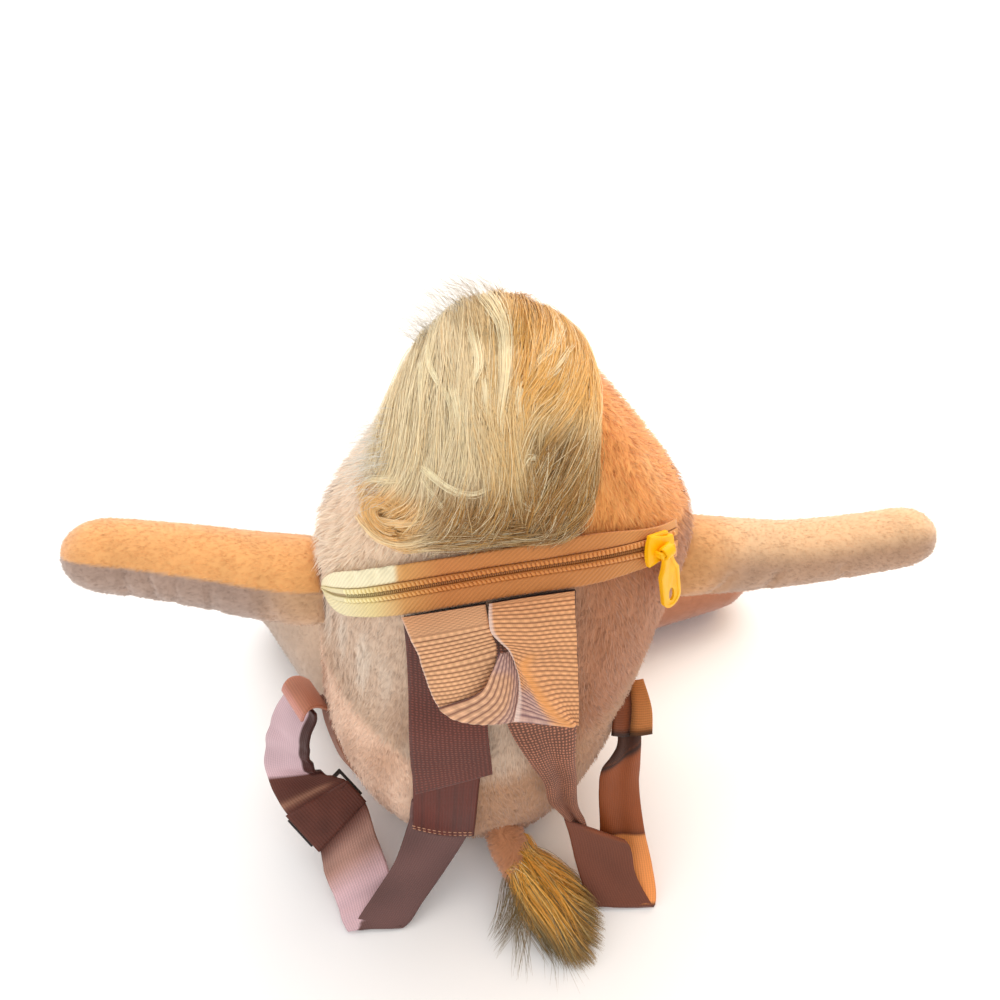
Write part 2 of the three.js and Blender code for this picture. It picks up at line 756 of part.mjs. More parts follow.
// Left strap: three lengths sewn one over the other, then a loop to the floor and up to the side
const strapLeftUpper = () =>
  webbing([seamRow(STRAP_TOP_LEFT, 0), ...lyingRows(STRAP_TOP_LEFT, STRAP_LEFT_UPPER)]);
const strapLeftMiddle = () => webbing(lyingRows(STRAP_TOP_LEFT, STRAP_LEFT_MIDDLE));

function adjusterAxes() {
  const along = ADJUSTER_PLACE.along.clone().normalize();
  const { aim } = freeRow({ ...ADJUSTER_PLACE, x: 0, y: 0, z: 0, width: 0 });
  const across = aim.addScaledVector(along, -aim.dot(along)).normalize();
  return { along, across, out: along.clone().cross(across) };
}

// The strap dips under the ends of the adjuster and climbs over its middle bar
function weaveRows() {
  const { along, across, out } = adjusterAxes();
  const height = (ADJUSTER.thick + WEB_THICK) / 2 + GAP;
  return WEAVE.map((stop) => ({
    aim: across,
    width: WEB_WIDTH,
    centre: ADJUSTER_PLACE.centre
      .clone()
      .addScaledVector(along, stop.reach)
      .addScaledVector(out, stop.side * height),
  }));
}

const strapLeftLower = () =>
  webbing([
    ...lyingRows(STRAP_TOP_LEFT, STRAP_LEFT_LOWER),
    ...LEFT_TO_FLOOR.map(freeRow),
    ...weaveRows(),
    ...LEFT_TO_SIDE.map(freeRow),
  ]);
const strapLeftTab = () => webbing(LEFT_TAB.map(freeRow));

function adjuster() {
  const { along, across } = adjusterAxes();
  const { length, width, thick, bar, slot, slotWidth } = ADJUSTER;
  const slots = [-1, 1].map((side) => box(slotWidth, slot, 2 * thick, 0, side * (bar + slot / 2), 0));
  const plate = box(width, length, thick, 0, 0, 0).subtract(join(slots));
  const place = new THREE.Matrix4().makeBasis(across, along, across.clone().cross(along));
  place.setPosition(ADJUSTER_PLACE.centre);
  return fromSolid(plate).applyMatrix4(place);
}

// Right strap: flat under the loop, bunched to a neck, then open again to the floor and up to the side
const strapRightUpper = () =>
  webbing([
    seamRow(STRAP_TOP_RIGHT, 0),
    ...lyingRows(STRAP_TOP_RIGHT, STRAP_RIGHT_UPPER),
    ...RIGHT_BUNCHED.map(freeRow),
  ]);
const strapRightLower = () => webbing(RIGHT_TO_SIDE.map(freeRow));

function strapRightTab() {
  const back = RIGHT_TAB.map((row) => [
    vec(row.leftX, row.leftY, row.leftZ),
    vec(row.foldX, row.foldY, row.foldZ),
    vec(row.rightX, row.rightY, row.rightZ),
  ]);
  const lift = RIGHT_TAB_FACE.clone().setLength(WEB_THICK);
  const front = back.map((row) => row.map((p) => p.clone().add(lift)));
  return fromSolid(solid(sheet(front, back)).subtract(outsideBody));
}

// Grab loop: both ends side by side in the seam, and the webbing turned on its edge between them
function grabLoop() {
  const left = LOOP_LEFT.clone().normalize();
  const down = vec(LOOP_SKEW, -Math.sin(rad(LOOP_LEAN)), -Math.cos(rad(LOOP_LEAN))).normalize();
  const rib = (angle, reach) => {
    const aim = left.clone().multiplyScalar(Math.cos(rad(angle)));
    aim.addScaledVector(down, Math.sin(rad(angle))).normalize();
    const centre = LOOP_CORNER.clone().addScaledVector(aim, (WEB_THICK + reach) / 2);
    return { aim, width: reach - WEB_THICK, centre };
  };
  const rows = Array.from({ length: LOOP_TURN.steps + 1 }, (_, i) => {
    const angle = LOOP_TURN.end * (i / LOOP_TURN.steps);
    const past = Math.max(0, angle - LOOP_TURN.round) / (LOOP_TURN.end - LOOP_TURN.round);
    return rib(angle, lerp(WEB_WIDTH, LOOP_TURN.widest, past));
  });
  const back = LOOP_RETURN.map((row) => rib(row.angle, row.reach));
  const start = seamRow(STRAP_TOP_LEFT, 1);
  const end = seamRow(STRAP_TOP_RIGHT, 1);
  // the ribs face the plush, so the sewn ends are turned to match, and the first one runs to the left
  const first = { ...start, front: start.back.toReversed(), back: start.front.toReversed() };
  const last = { ...end, front: end.back, back: end.front };
  return webbing([first, ...rows, ...back, last]);
}

// Plain front of the head

function ball(size, centre) {
  const round = new THREE.SphereGeometry(1, BALL_SIDES, BALL_LEVELS);
  return solid(round.scale(size.x, size.y, size.z).translate(centre.x, centre.y, centre.z));
}

const muzzleCentre = onHead(MUZZLE.lambda, MUZZLE.rho, -MUZZLE.sink);
const muzzle = () => fromSolid(ball(MUZZLE.size, muzzleCentre).subtract(outsideBody));

function nose() {
  const centre = muzzleCentre.clone().add(vec(0, MUZZLE.size.y - NOSE.sink, NOSE.up));
  const grown = MUZZLE.size.clone().addScalar(GAP);
  return fromSolid(ball(NOSE.size, centre).subtract(ball(grown, muzzleCentre)));
}

function eye(side) {
  const centre = onHead(side * EYE.lambda, EYE.rho, -EYE.sink);
  return fromSolid(ball(vec(EYE.size, EYE.size, EYE.size), centre).subtract(outsideBody));
}

// The assembly

const root = new THREE.Group();

function add(name, geometry, color, roughness, parent = root) {
  const bare = geometry.toNonIndexed();
  bare.computeVertexNormals();
  const mesh = new THREE.Mesh(bare, new THREE.MeshStandardMaterial({ color, roughness, metalness: 0 }));
  mesh.name = name;
  parent.add(mesh);
}

const COLORS = {
  plush: "#e0c6a8",
  velour: "#f0b98a",
  hair: "#c9b27c",
  tuft: "#b08a3c",
  tape: "#f0dfa8",
  chain: "#e8c98a",
  webbing: "#7a4f4a",
  loop: "#d9a277",
  tab: "#a65a34",
  yellow: "#ffbf00",
  black: "#1c1714",
  cream: "#f2e2cc",
};

add("body", body(), COLORS.plush, 0.95);
add("mane", mane(), COLORS.hair, 0.7);
add("zipper_tape_upper", tapeUpper(), COLORS.tape, 0.8);
add("zipper_tape_lower", tapeLower(), COLORS.tape, 0.8);
add("zipper_chain", chain(), COLORS.chain, 0.5);
for (const name of Object.keys(LIMB_ROWS)) add(name, limb(name), COLORS.velour, 0.9);
add("tail_stem", tailStem(), COLORS.plush, 0.95);
add("tail_tuft", tailTuft(), COLORS.tuft, 0.7);
add("grab_loop", grabLoop(), COLORS.loop, 0.8);
add("strap_left_upper", strapLeftUpper(), COLORS.webbing, 0.8);
add("strap_left_middle", strapLeftMiddle(), COLORS.webbing, 0.8);
add("strap_left_lower", strapLeftLower(), COLORS.webbing, 0.8);
add("strap_left_tab", strapLeftTab(), COLORS.tab, 0.8);
add("strap_adjuster", adjuster(), COLORS.black, 0.4);
add("strap_right_upper", strapRightUpper(), COLORS.webbing, 0.8);
add("strap_right_lower", strapRightLower(), COLORS.webbing, 0.8);
add("strap_right_tab", strapRightTab(), COLORS.tab, 0.8);
add("muzzle", muzzle(), COLORS.cream, 0.95);
add("nose", nose(), COLORS.black, 0.5);
add("eye_left", eye(-1), COLORS.black, 0.15);
add("eye_right", eye(1), COLORS.black, 0.15);

const sliderFrame = new THREE.Group();
sliderFrame.position.copy(onBack(SLIDER.x, zipHeight(SLIDER.x), 0));
sliderFrame.rotation.set(rad(SLIDER.lean), rad(SLIDER.drop), rad(SLIDER.turn), "ZYX");
root.add(sliderFrame);
add("zipper_slider", slider(), COLORS.yellow, 0.35, sliderFrame);

const pullFrame = new THREE.Group();
pullFrame.position.set(0, barY, 0);
pullFrame.rotation.set(rad(PULL.hang), rad(-PULL.swing), 0, "YXZ");
sliderFrame.add(pullFrame);
add("zipper_pull", pull(), COLORS.yellow, 0.35, pullFrame);

export default root;
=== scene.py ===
import math
import bpy
import numpy as np
from mathutils import Matrix, Vector
from mathutils.bvhtree import BVHTree
from mathutils.kdtree import KDTree


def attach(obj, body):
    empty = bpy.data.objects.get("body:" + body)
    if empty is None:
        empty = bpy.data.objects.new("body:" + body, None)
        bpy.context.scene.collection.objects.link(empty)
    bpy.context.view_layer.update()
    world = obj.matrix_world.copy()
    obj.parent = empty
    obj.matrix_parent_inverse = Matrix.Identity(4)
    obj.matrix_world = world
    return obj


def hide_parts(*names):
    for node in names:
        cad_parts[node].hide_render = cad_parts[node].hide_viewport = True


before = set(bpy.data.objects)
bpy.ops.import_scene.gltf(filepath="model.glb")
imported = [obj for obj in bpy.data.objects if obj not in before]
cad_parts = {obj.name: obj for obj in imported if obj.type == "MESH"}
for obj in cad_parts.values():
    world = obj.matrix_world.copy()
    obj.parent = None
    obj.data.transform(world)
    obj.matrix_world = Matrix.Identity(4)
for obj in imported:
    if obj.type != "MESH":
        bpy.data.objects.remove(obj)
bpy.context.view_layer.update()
mm = 0.001
dice = np.random.default_rng(11)
scene = bpy.context.scene
print("frame loaded:", len(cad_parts), "nodes")


# small tools

def linear(hexColour):
    parts = [int(hexColour[i:i + 2], 16) / 255 for i in (1, 3, 5)]
    return np.array([c / 12.92 if c <= 0.04045 else ((c + 0.055) / 1.055) ** 2.4 for c in parts])


def tonesOf(**names):
    return {name: linear(tone) for name, tone in names.items()}


def addNode(tree, kind, settings=None, sockets=None, links=None):
    node = tree.nodes.new(kind)
    for key, value in (settings or {}).items():
        setattr(node, key, value)
    for key, value in (sockets or {}).items():
        node.inputs[key].default_value = value
    for key, source in (links or {}).items():
        tree.links.new(source, node.inputs[key])
    return node


def newMaterial(name, sockets):
    made = bpy.data.materials.new(name)
    made.use_nodes = True
    shader = made.node_tree.nodes["Principled BSDF"]
    for key, value in sockets.items():
        shader.inputs[key].default_value = value
    return made, made.node_tree, shader


# a wave band repeats each 2 pi / 20 of its scale, and the cloth's map counts 100 mm as one
def waveScale(pitch):
    return 100 / pitch / 3.1832


# the tones painted on the mesh, times the level of a pattern
def paintedBase(tree, shader, pattern, span):
    tone = addNode(tree, "ShaderNodeVertexColor", {"layer_name": "tone"})
    level = addNode(tree, "ShaderNodeMapRange", None, span, {"Value": pattern})
    mix = addNode(tree, "ShaderNodeMix", {"data_type": "RGBA", "blend_type": "MULTIPLY"}, {0: 1.0},
                  {6: tone.outputs["Color"], 7: level.outputs["Result"]})
    tree.links.new(mix.outputs[2], shader.inputs["Base Color"])


def pick(obj):
    if bpy.context.object and bpy.context.object.mode != "OBJECT":
        bpy.ops.object.mode_set(mode="OBJECT")
    bpy.ops.object.select_all(action="DESELECT")
    if obj:
        obj.select_set(True)
        bpy.context.view_layer.objects.active = obj
    return obj


def applied(obj, kind, **settings):
    pick(obj)
    step = obj.modifiers.new(kind.lower(), kind)
    for key, value in settings.items():
        setattr(step, key, value)
    bpy.ops.object.modifier_apply(modifier=step.name)


def editAll(obj):
    pick(obj)
    bpy.ops.object.mode_set(mode="EDIT")
    bpy.ops.mesh.select_all(action="SELECT")


def joined(name, parts):
    pick(None)
    for part in parts:
        part.select_set(True)
    bpy.context.view_layer.objects.active = parts[0]
    if len(parts) > 1:
        bpy.ops.object.join()
    parts[0].name = parts[0].data.name = name
    return parts[0]


# a merged copy of CAD solids, to be worked on
def copyOf(name, nodes):
    parts = []
    for node in nodes:
        part = bpy.data.objects.new(name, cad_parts[node].data.copy())
        bpy.context.collection.objects.link(part)
        part.data.materials.clear()
        parts.append(part)
    obj = joined(name, parts)
    editAll(obj)
    bpy.ops.mesh.remove_doubles(threshold=1e-6)
    pick(obj)
    return obj


def readEach(obj, kind):
    flat = np.empty(len(obj.data.vertices) * 3, np.float32)
    obj.data.vertices.foreach_get(kind, flat)
    return flat.reshape(-1, 3).astype(float)


def pointsOf(obj):
    return readEach(obj, "co")


def setPoints(obj, points):
    obj.data.vertices.foreach_set("co", points.astype(np.float32).ravel())
    obj.data.update()


# points in metres, faces all with three or all with four corners
def newMesh(name, points, faces, tone=None, uv=None, normals=None):
    mesh = bpy.data.meshes.new(name)
    corners = faces.shape[1]
    mesh.vertices.add(len(points))
    mesh.vertices.foreach_set("co", points.astype(np.float32).ravel())
    mesh.loops.add(faces.size)
    mesh.loops.foreach_set("vertex_index", faces.astype(np.int32).ravel())
    mesh.polygons.add(len(faces))
    mesh.polygons.foreach_set("loop_start", np.arange(len(faces), dtype=np.int32) * corners)
    mesh.update(calc_edges=True)
    mesh.polygons.foreach_set("use_smooth", np.ones(len(faces), bool))
    if uv is not None:
        layer = mesh.uv_layers.new(name="cloth")
        layer.data.foreach_set("uv", uv[faces.ravel()].astype(np.float32).ravel())
    if normals is not None:
        mesh.normals_split_custom_set_from_vertices(normals.tolist())
    obj = bpy.data.objects.new(name, mesh)
    bpy.context.collection.objects.link(obj)
    if tone is not None:
        setTone(obj, tone)
    return obj


def setTone(obj, tone):
    layer = obj.data.color_attributes.new(name="tone", type="FLOAT_COLOR", domain="POINT")
    full = np.ones((len(tone), 4), np.float32)
    full[:, :3] = np.clip(tone, 0, 1)
    layer.data.foreach_set("color", full.ravel())


def finishPiece(obj, material, nodes=(), body="plush"):
    obj.data.materials.clear()
    obj.data.materials.append(material)
    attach(obj, body)
    if nodes:
        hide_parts(*nodes)
    return obj


def unit(v):
    return v / np.maximum(np.linalg.norm(v, axis=-1, keepdims=True), 1e-12)


def ramp(low, high, value):
    t = np.clip((value - low) / (high - low), 0, 1)
    return t * t * (3 - 2 * t)


def blendTone(a, b, share):
    return a + (b - a) * np.asarray(share)[..., None]


def even(tone, p):
    return np.broadcast_to(tone, p.shape)


# named tones laid over a first one in turn, each with its share
def layered(first, tones, layers):
    for name, share in layers:
        first = blendTone(first, tones[name], share)
    return first


# soft uneven field from -1 to 1, the same in each run
def wobble(points, size, seed):
    own = np.random.default_rng(seed)
    total = 0
    for _ in range(6):
        aim = own.normal(size=3)
        total = total + np.sin(points @ aim * (2.2 / size) + own.uniform(0, 6.28))
    return total / 3.2


def uneven(tone, p, amount, size, seed):
    return tone * (1 + amount * wobble(p, size, seed))[:, None]


# smooth curve through knots, as the CAD sections use
def smoothThrough(knots, values, at):
    knots, values = np.asarray(knots, float), np.asarray(values, float)
    at = np.clip(at, knots[0], knots[-1])
    last = len(knots) - 1
    i = np.clip(np.searchsorted(knots, at, side="right"), 1, last)
    before = np.where(i > 1, i - 2, i)
    after = np.where(i < last, i + 1, i - 1)
    t0, t1 = knots[i - 1], knots[i]
    half = (t1 - t0) / 2
    wb = half / (t0 - knots[before])
    wa = half / (knots[after] - t1)
    p = (at - t0) / (t1 - t0)
    p2, p3 = p * p, p * p * p
    shares = [-wb * p3 + 2 * wb * p2 - wb * p, (1 + wb) * p3 + (-1.5 - 2 * wb) * p2 + (wb - 0.5) * p + 1,
              (-1 - wa) * p3 + (1.5 + wa) * p2 + 0.5 * p, wa * p3 - wa * p2]
    extra = (...,) + (None,) * (values.ndim - 1)
    return sum(share[extra] * values[k] for share, k in zip(shares, (before, i - 1, i, after)))


# camera at the photograph's angle, plain pale floor and soft light

studio = {
    "eye": (-0.002, -0.286, 0.495), "tilt": (48, 0, -4), "lens": 27,
    "worldTone": "#ffffff", "worldPower": 0.82,
    "key": {"from": (0.05, 0.7, 1.0), "spread": 60, "power": 1.7, "tone": "#fff9f4"},
    "fill": {"at": (-1.4, -0.5, 0.9), "aim": (0.0, 0.0, 0.15), "size": 1.2, "watts": 4.8,
             "tone": "#fff3ea"},
    "rim": {"at": (1.0, 0.5, 0.9), "aim": (0.05, 0.0, 0.25), "size": 0.7, "watts": 6, "tone": "#ffd6a0"},
}
camera = bpy.data.objects.new("camera", bpy.data.cameras.new("camera"))
bpy.context.collection.objects.link(camera)
camera.location = studio["eye"]
camera.rotation_euler = [math.radians(a) for a in studio["tilt"]]
camera.data.lens = studio["lens"]
camera.data.sensor_width = 36
camera.data.clip_start = 0.01
scene.camera = camera
scene.view_settings.view_transform = "Standard"

scene.world = bpy.data.worlds.new("studio")
scene.world.use_nodes = True
sky = scene.world.node_tree.nodes["Background"]
sky.inputs["Color"].default_value = (*linear(studio["worldTone"]), 1)
sky.inputs["Strength"].default_value = studio["worldPower"]
key = bpy.data.objects.new("key", bpy.data.lights.new("key", "SUN"))
key.rotation_euler = (-Vector(studio["key"]["from"])).to_track_quat("-Z", "Y").to_euler()
key.data.angle = math.radians(studio["key"]["spread"])
key.data.energy = studio["key"]["power"]
key.data.color = linear(studio["key"]["tone"])
bpy.context.collection.objects.link(key)
for name in ("fill", "rim"):
    spec = studio[name]
    lamp = bpy.data.objects.new(name, bpy.data.lights.new(name, "AREA"))
    lamp.location = spec["at"]
    lamp.rotation_euler = (Vector(spec["aim"]) - Vector(spec["at"])).to_track_quat("-Z", "Y").to_euler()
    lamp.data.size = spec["size"]
    lamp.data.energy = spec["watts"]
    lamp.data.color = linear(spec["tone"])
    bpy.context.collection.objects.link(lamp)

pick(None)
bpy.ops.mesh.primitive_plane_add(size=12)
floor = bpy.context.object
floor.name = "floor"
# matt paper sweep: even and near white
paper, tree, shader = newMaterial("paperSweep", {"Roughness": 0.9, "Specular IOR Level": 0.1})
where = addNode(tree, "ShaderNodeTexCoord")
mottle = addNode(tree, "ShaderNodeTexNoise", None, {"Scale": 3.0}, {"Vector": where.outputs["Object"]})
shade = addNode(tree, "ShaderNodeMix", {"data_type": "RGBA"},
                {6: (0.94, 0.94, 0.94, 1), 7: (0.96, 0.96, 0.96, 1)}, {0: mottle.outputs["Fac"]})
tree.links.new(shade.outputs[2], shader.inputs["Base Color"])
floor.data.materials.append(paper)
print("studio set")


# the stuffed body's form, in mm as in the CAD

plushBody = {
    "rows": np.array([  # height, half width, middle x, middle y, half depth
        (0, 56, 0, 0, 54), (5, 69, 0, 0, 67), (20, 79, -1, 0, 78), (50, 89, 0, 0, 82), (90, 97, 3, 0, 82),
        (140, 98, 9, 1, 77), (190, 99, 17, 3, 71), (225, 100, 22, 5, 69), (245, 89, 23, 7, 66),
        (265, 74, 23, 9, 62), (285, 59, 22, 11, 56), (304, 43, 21, 13, 46), (319, 29, 20, 15, 33),
        (329, 17, 19, 16, 19), (333, 6, 19, 16, 7)], float),
    "power": 0.92,
    "headCore": np.array((22.0, 8.0, 262.0)),
    "voxel": 4.5, "smooth": 5, "shrink": 2.4, "pressure": 4, "cap": 2.9,
    "seamHalf": {"side": 3, "seat": 2.6, "back": 2.8, "mouth": 6}, "flat": 3,
}


def sectionAt(z):
    rows = plushBody["rows"]
    return np.moveaxis(smoothThrough(rows[:, 0], rows[:, 1:], z), -1, 0)


def bodyField(p):
    halfWidth, midX, midY, halfDepth = sectionAt(p[..., 2])
    bend = 2 / plushBody["power"]
    top = plushBody["rows"][-1, 0]
    beyond = np.maximum(0, p[..., 2] - top) + np.maximum(0, -p[..., 2])
    wide = np.abs((p[..., 0] - midX) / halfWidth) ** bend
    deep = np.abs((p[..., 1] - midY) / halfDepth) ** bend
    return wide + deep - 1 + beyond


def fieldSlope(p):
    return np.stack([bodyField(p + s) - bodyField(p - s) for s in 0.5 * np.eye(3)], -1)


def bodyNormal(p):
    return unit(fieldSlope(p))


# point of the back at a width and a height, lifted off the plush
def onBack(x, z, lift):
    x, z, lift = np.broadcast_arrays(np.asarray(x, float), np.asarray(z, float), np.asarray(lift, float))
    halfWidth, midX, midY, halfDepth = sectionAt(z)
    side = np.minimum(1, np.abs((x - midX) / halfWidth)) ** (2 / plushBody["power"])
    p = np.stack([x, midY - halfDepth * (1 - side) ** (plushBody["power"] / 2), z], -1)
    return p + bodyNormal(p) * lift[..., None]


# point of the head: lam degrees to the right, rho degrees up from the back and over the top
def onHead(lam, rho, lift):
    lam, rho, lift = np.broadcast_arrays(np.radians(lam), np.radians(rho), np.asarray(lift, float))
    aim = np.stack([np.sin(lam), -np.cos(lam) * np.cos(rho), np.cos(lam) * np.sin(rho)], -1)
    near, far = np.zeros(lam.shape), np.full(lam.shape, plushBody["rows"][-1, 0])
    for _ in range(26):
        half = (near + far) / 2
        within = bodyField(plushBody["headCore"] + aim * half[..., None]) < 0
        near, far = np.where(within, half, near), np.where(within, far, half)
    p = plushBody["headCore"] + aim * near[..., None]
    return p + bodyNormal(p) * lift[..., None]


zipper = {"left": -68, "right": 100, "crestX": 42, "crestZ": 249, "radius": 161}
seatPanel = {"low": 100, "middle": 8, "curve": 165, "sole": 26}


def zipHeight(x):
    return zipper["crestZ"] - (x - zipper["crestX"]) ** 2 / (2 * zipper["radius"])


# top edge of the seat panel on the back
def seatSeam(x):
    return seatPanel["low"] + (x - seatPanel["middle"]) ** 2 / seatPanel["curve"]


# stuffing: each soft piece swells against its sewn seams, and all of them in one run

sewing = []
stuffTicks = 20


def readyToStuff(obj, spec, onSeam):
    pick(obj)
    applied(obj, "REMESH", mode="VOXEL", voxel_size=spec["voxel"] * mm)
    applied(obj, "SMOOTH", factor=0.5, iterations=spec["smooth"])
    applied(obj, "DISPLACE", strength=-spec["shrink"] * mm, mid_level=0)
    start = pointsOf(obj)
    seams = obj.vertex_groups.new(name="seams")
    seams.add([int(i) for i in np.flatnonzero(onSeam(start / mm))], 1, "REPLACE")
    cloth = obj.modifiers.new("cloth", "CLOTH")
    cloth.settings.quality = 4
    cloth.settings.use_pressure = True
    cloth.settings.uniform_pressure_force = spec["pressure"]
    cloth.settings.vertex_group_mass = "seams"
    cloth.settings.effector_weights.gravity = 0
    cloth.collision_settings.use_collision = False
    sewing.append((obj, spec, start))


def stuffAll():
    for tick in range(1, stuffTicks + 1):
        scene.frame_set(tick)
    for obj, spec, start in sewing:
        pick(obj)
        bpy.ops.object.modifier_apply(modifier="cloth")
        moved = pointsOf(obj) - start
        far = np.maximum(np.linalg.norm(moved, axis=1, keepdims=True), 1e-9)
        setPoints(obj, start + moved * np.minimum(1, spec["cap"] * mm / far))
        applied(obj, "SUBSURF", levels=1, render_levels=1)
        bpy.ops.object.shade_smooth()
        if obj.vertex_groups:
            obj.vertex_groups.clear()
    scene.frame_set(1)


def bodySeams(p):
    halfWidth, midX, midY, _ = sectionAt(p[:, 2])
    x, y, z = p.T
    sole, crest, half = seatPanel["sole"], zipper["crestZ"], plushBody["seamHalf"]
    aside = np.abs(x - midX) / halfWidth
    side = (np.abs(y - midY) < half["side"]) & (aside > 0.7) & (z < crest + 1) & (z > sole)
    seat = np.abs(z - sole) < half["seat"]
    back = (y < 0) & (np.abs(z - seatSeam(x)) < half["back"]) & (aside < 0.85)
    mouth = np.abs(z - zipHeight(x)) < half["mouth"]
    mouth = mouth & (y < 0) & (x > zipper["left"]) & (x < zipper["right"])
    return side | seat | back | mouth | (z < plushBody["flat"])


body = copyOf("plush_body", ["body"])
editAll(body)
bpy.ops.mesh.convex_hull()  # the pouch is inside, only the outer skin is wanted
readyToStuff(body, plushBody, bodySeams)

limbs = {
    "paths": {
        "arm_left": [(-62, -2, 184), (-95, -2, 187), (-140, 3, 195), (-172, 7, 199.5), (-218, 11, 205)],
        "arm_right": [(96, 0, 190), (133, 4, 184), (188, 8, 177), (240, 10, 181), (276, 10, 187)],
        "leg_left": [(-40, -22, 44), (-80, 36, 40), (-108, 76, 36), (-132, 110, 34), (-155, 145, 35)],
        "leg_right": [(24, 48, 42), (92, 86, 38), (142, 104, 34), (192, 119, 33), (235, 135, 34)]},
    "voxel": 4.2, "smooth": 6, "shrink": 1.6, "pressure": 5, "cap": 3.6,
    # degrees up from the back
    "seamAngle": {"arm_left": 32, "arm_right": 20, "leg_left": 60, "leg_right": 60},
    "puckers": {"arm_left": [0.32, 0.45, 0.56, 0.7, 0.78], "arm_right": [0.3, 0.42, 0.6]},
    "seamHalf": 7, "puckerDepth": 1.7, "puckerWidth": 0.013, "sink": 3.6, "sinkReach": 9,
}


# along the limb and round it, for points in mm
def roundLimb(name, p):
    path, steps = np.array(limbs["paths"][name], float), 60
    fine = smoothThrough(np.arange(len(path)), path, np.linspace(0, len(path) - 1, steps))
    near = np.argmin(((p[:, None] - fine[None]) ** 2).sum(-1), 1)
    along = unit(np.gradient(fine, axis=0))[near]
    out = p - fine[near]
    out = unit(out - along * (out * along).sum(-1, keepdims=True))
    back = unit(np.cross(along, np.array((0.0, 0, 1))))
    back = np.where((back @ np.array((0.0, -1, 0)))[:, None] < 0, -back, back)
    angle = np.degrees(np.arctan2(out[:, 2], (out * back).sum(-1)))  # 0 faces the back, 90 is up
    return near / (steps - 1), angle, out


def limbSeams(name):
    def onSeam(p):
        along, angle, _ = roundLimb(name, p)
        edge, half = limbs["seamAngle"][name], limbs["seamHalf"]
        off = np.minimum(np.abs(angle - edge), 360 - np.abs(angle - edge))
        far = np.abs(off - 180)
        return ((off < half) | (far < half)) & (along < 0.97) | (p[:, 2] < 2)
    return onSeam


limbPieces = {}
for name in limbs["paths"]:
    limbPieces[name] = copyOf(name + "_plush", [name])
    readyToStuff(limbPieces[name], limbs, limbSeams(name))

tail = {"voxel": 2.6, "smooth": 4, "shrink": 0.8, "pressure": 4, "cap": 1.6,
        "seamFrom": (18, -82), "seamSlope": 0.2, "seamHalf": 1.2,
        "tuck": (-3.0, 9.0, 4.5), "tuckReach": (7, 1)}
snout = {"voxel": 2.8, "smooth": 4, "shrink": 0.8, "pressure": 4, "cap": 1.8,
         "seamX": 22, "seamTop": 268, "seamHalf": 1.4}


def tailSeam(p):
    x, y = tail["seamFrom"]
    return np.abs(p[:, 0] - x - tail["seamSlope"] * (p[:, 1] - y)) < tail["seamHalf"]


def snoutSeam(p):
    return (np.abs(p[:, 0] - snout["seamX"]) < snout["seamHalf"]) & (p[:, 2] < snout["seamTop"])


stem = copyOf("tail_plush", ["tail_stem"])
readyToStuff(stem, tail, tailSeam)
muzzle = copyOf("muzzle_plush", ["muzzle"])
readyToStuff(muzzle, snout, snoutSeam)
stuffAll()


# distance outside the body's skin, near enough close to it
def offBody(p):
    return bodyField(p) / np.maximum(np.linalg.norm(fieldSlope(p), axis=-1), 1e-6)


# a limb's sewn end sits flush in the plush, and its seam draws the lower panel into puckers
for name, piece in limbPieces.items():
    p = pointsOf(piece) / mm
    p = p - bodyNormal(p) * (limbs["sink"] * ramp(limbs["sinkReach"], 0, offBody(p)))[:, None]
    along, angle, out = roundLimb(name, p)
    edge = limbs["seamAngle"][name]
    for k, at in enumerate(limbs["puckers"].get(name, [])):
        slant = at + 0.0006 * (k % 3 - 1) * (edge - angle)
        dent = np.exp(-((along - slant) / limbs["puckerWidth"]) ** 2)
        dent = dent * ramp(edge + 2, edge - 8, angle) * ramp(-62, -20, angle)
        p = p - out * (limbs["puckerDepth"] * dent)[:, None]
    setPoints(piece, p * mm)
print("stuffed:", len(sewing), "soft pieces")


# plush colours over the body, brushed from panel to panel, with painted light and shade among them

# the orange on the right of the head and its brighter patches are painted warm light and highlight
plushTones = tonesOf(
    back="#dfc2a8", backPale="#f0e0cd", backRight="#bf7d52", flank="#cda684", seatLeft="#f4ccae",
    seat="#c08d65", seatDeep="#bb835a", headLeft="#fee2c4", headRight="#fbad5a", headGlow="#fcbd74",
    belly="#f0d8ba", stem="#cf8d62", muzzle="#f4e6d2")

# painted shade on the back beside the straps: middle and half size across and up, share of each colour left
plushPatches = [((-38, 140), (11, 26), (0.78, 0.69, 0.63)), ((58, 142), (12, 30), (0.8, 0.71, 0.56))]


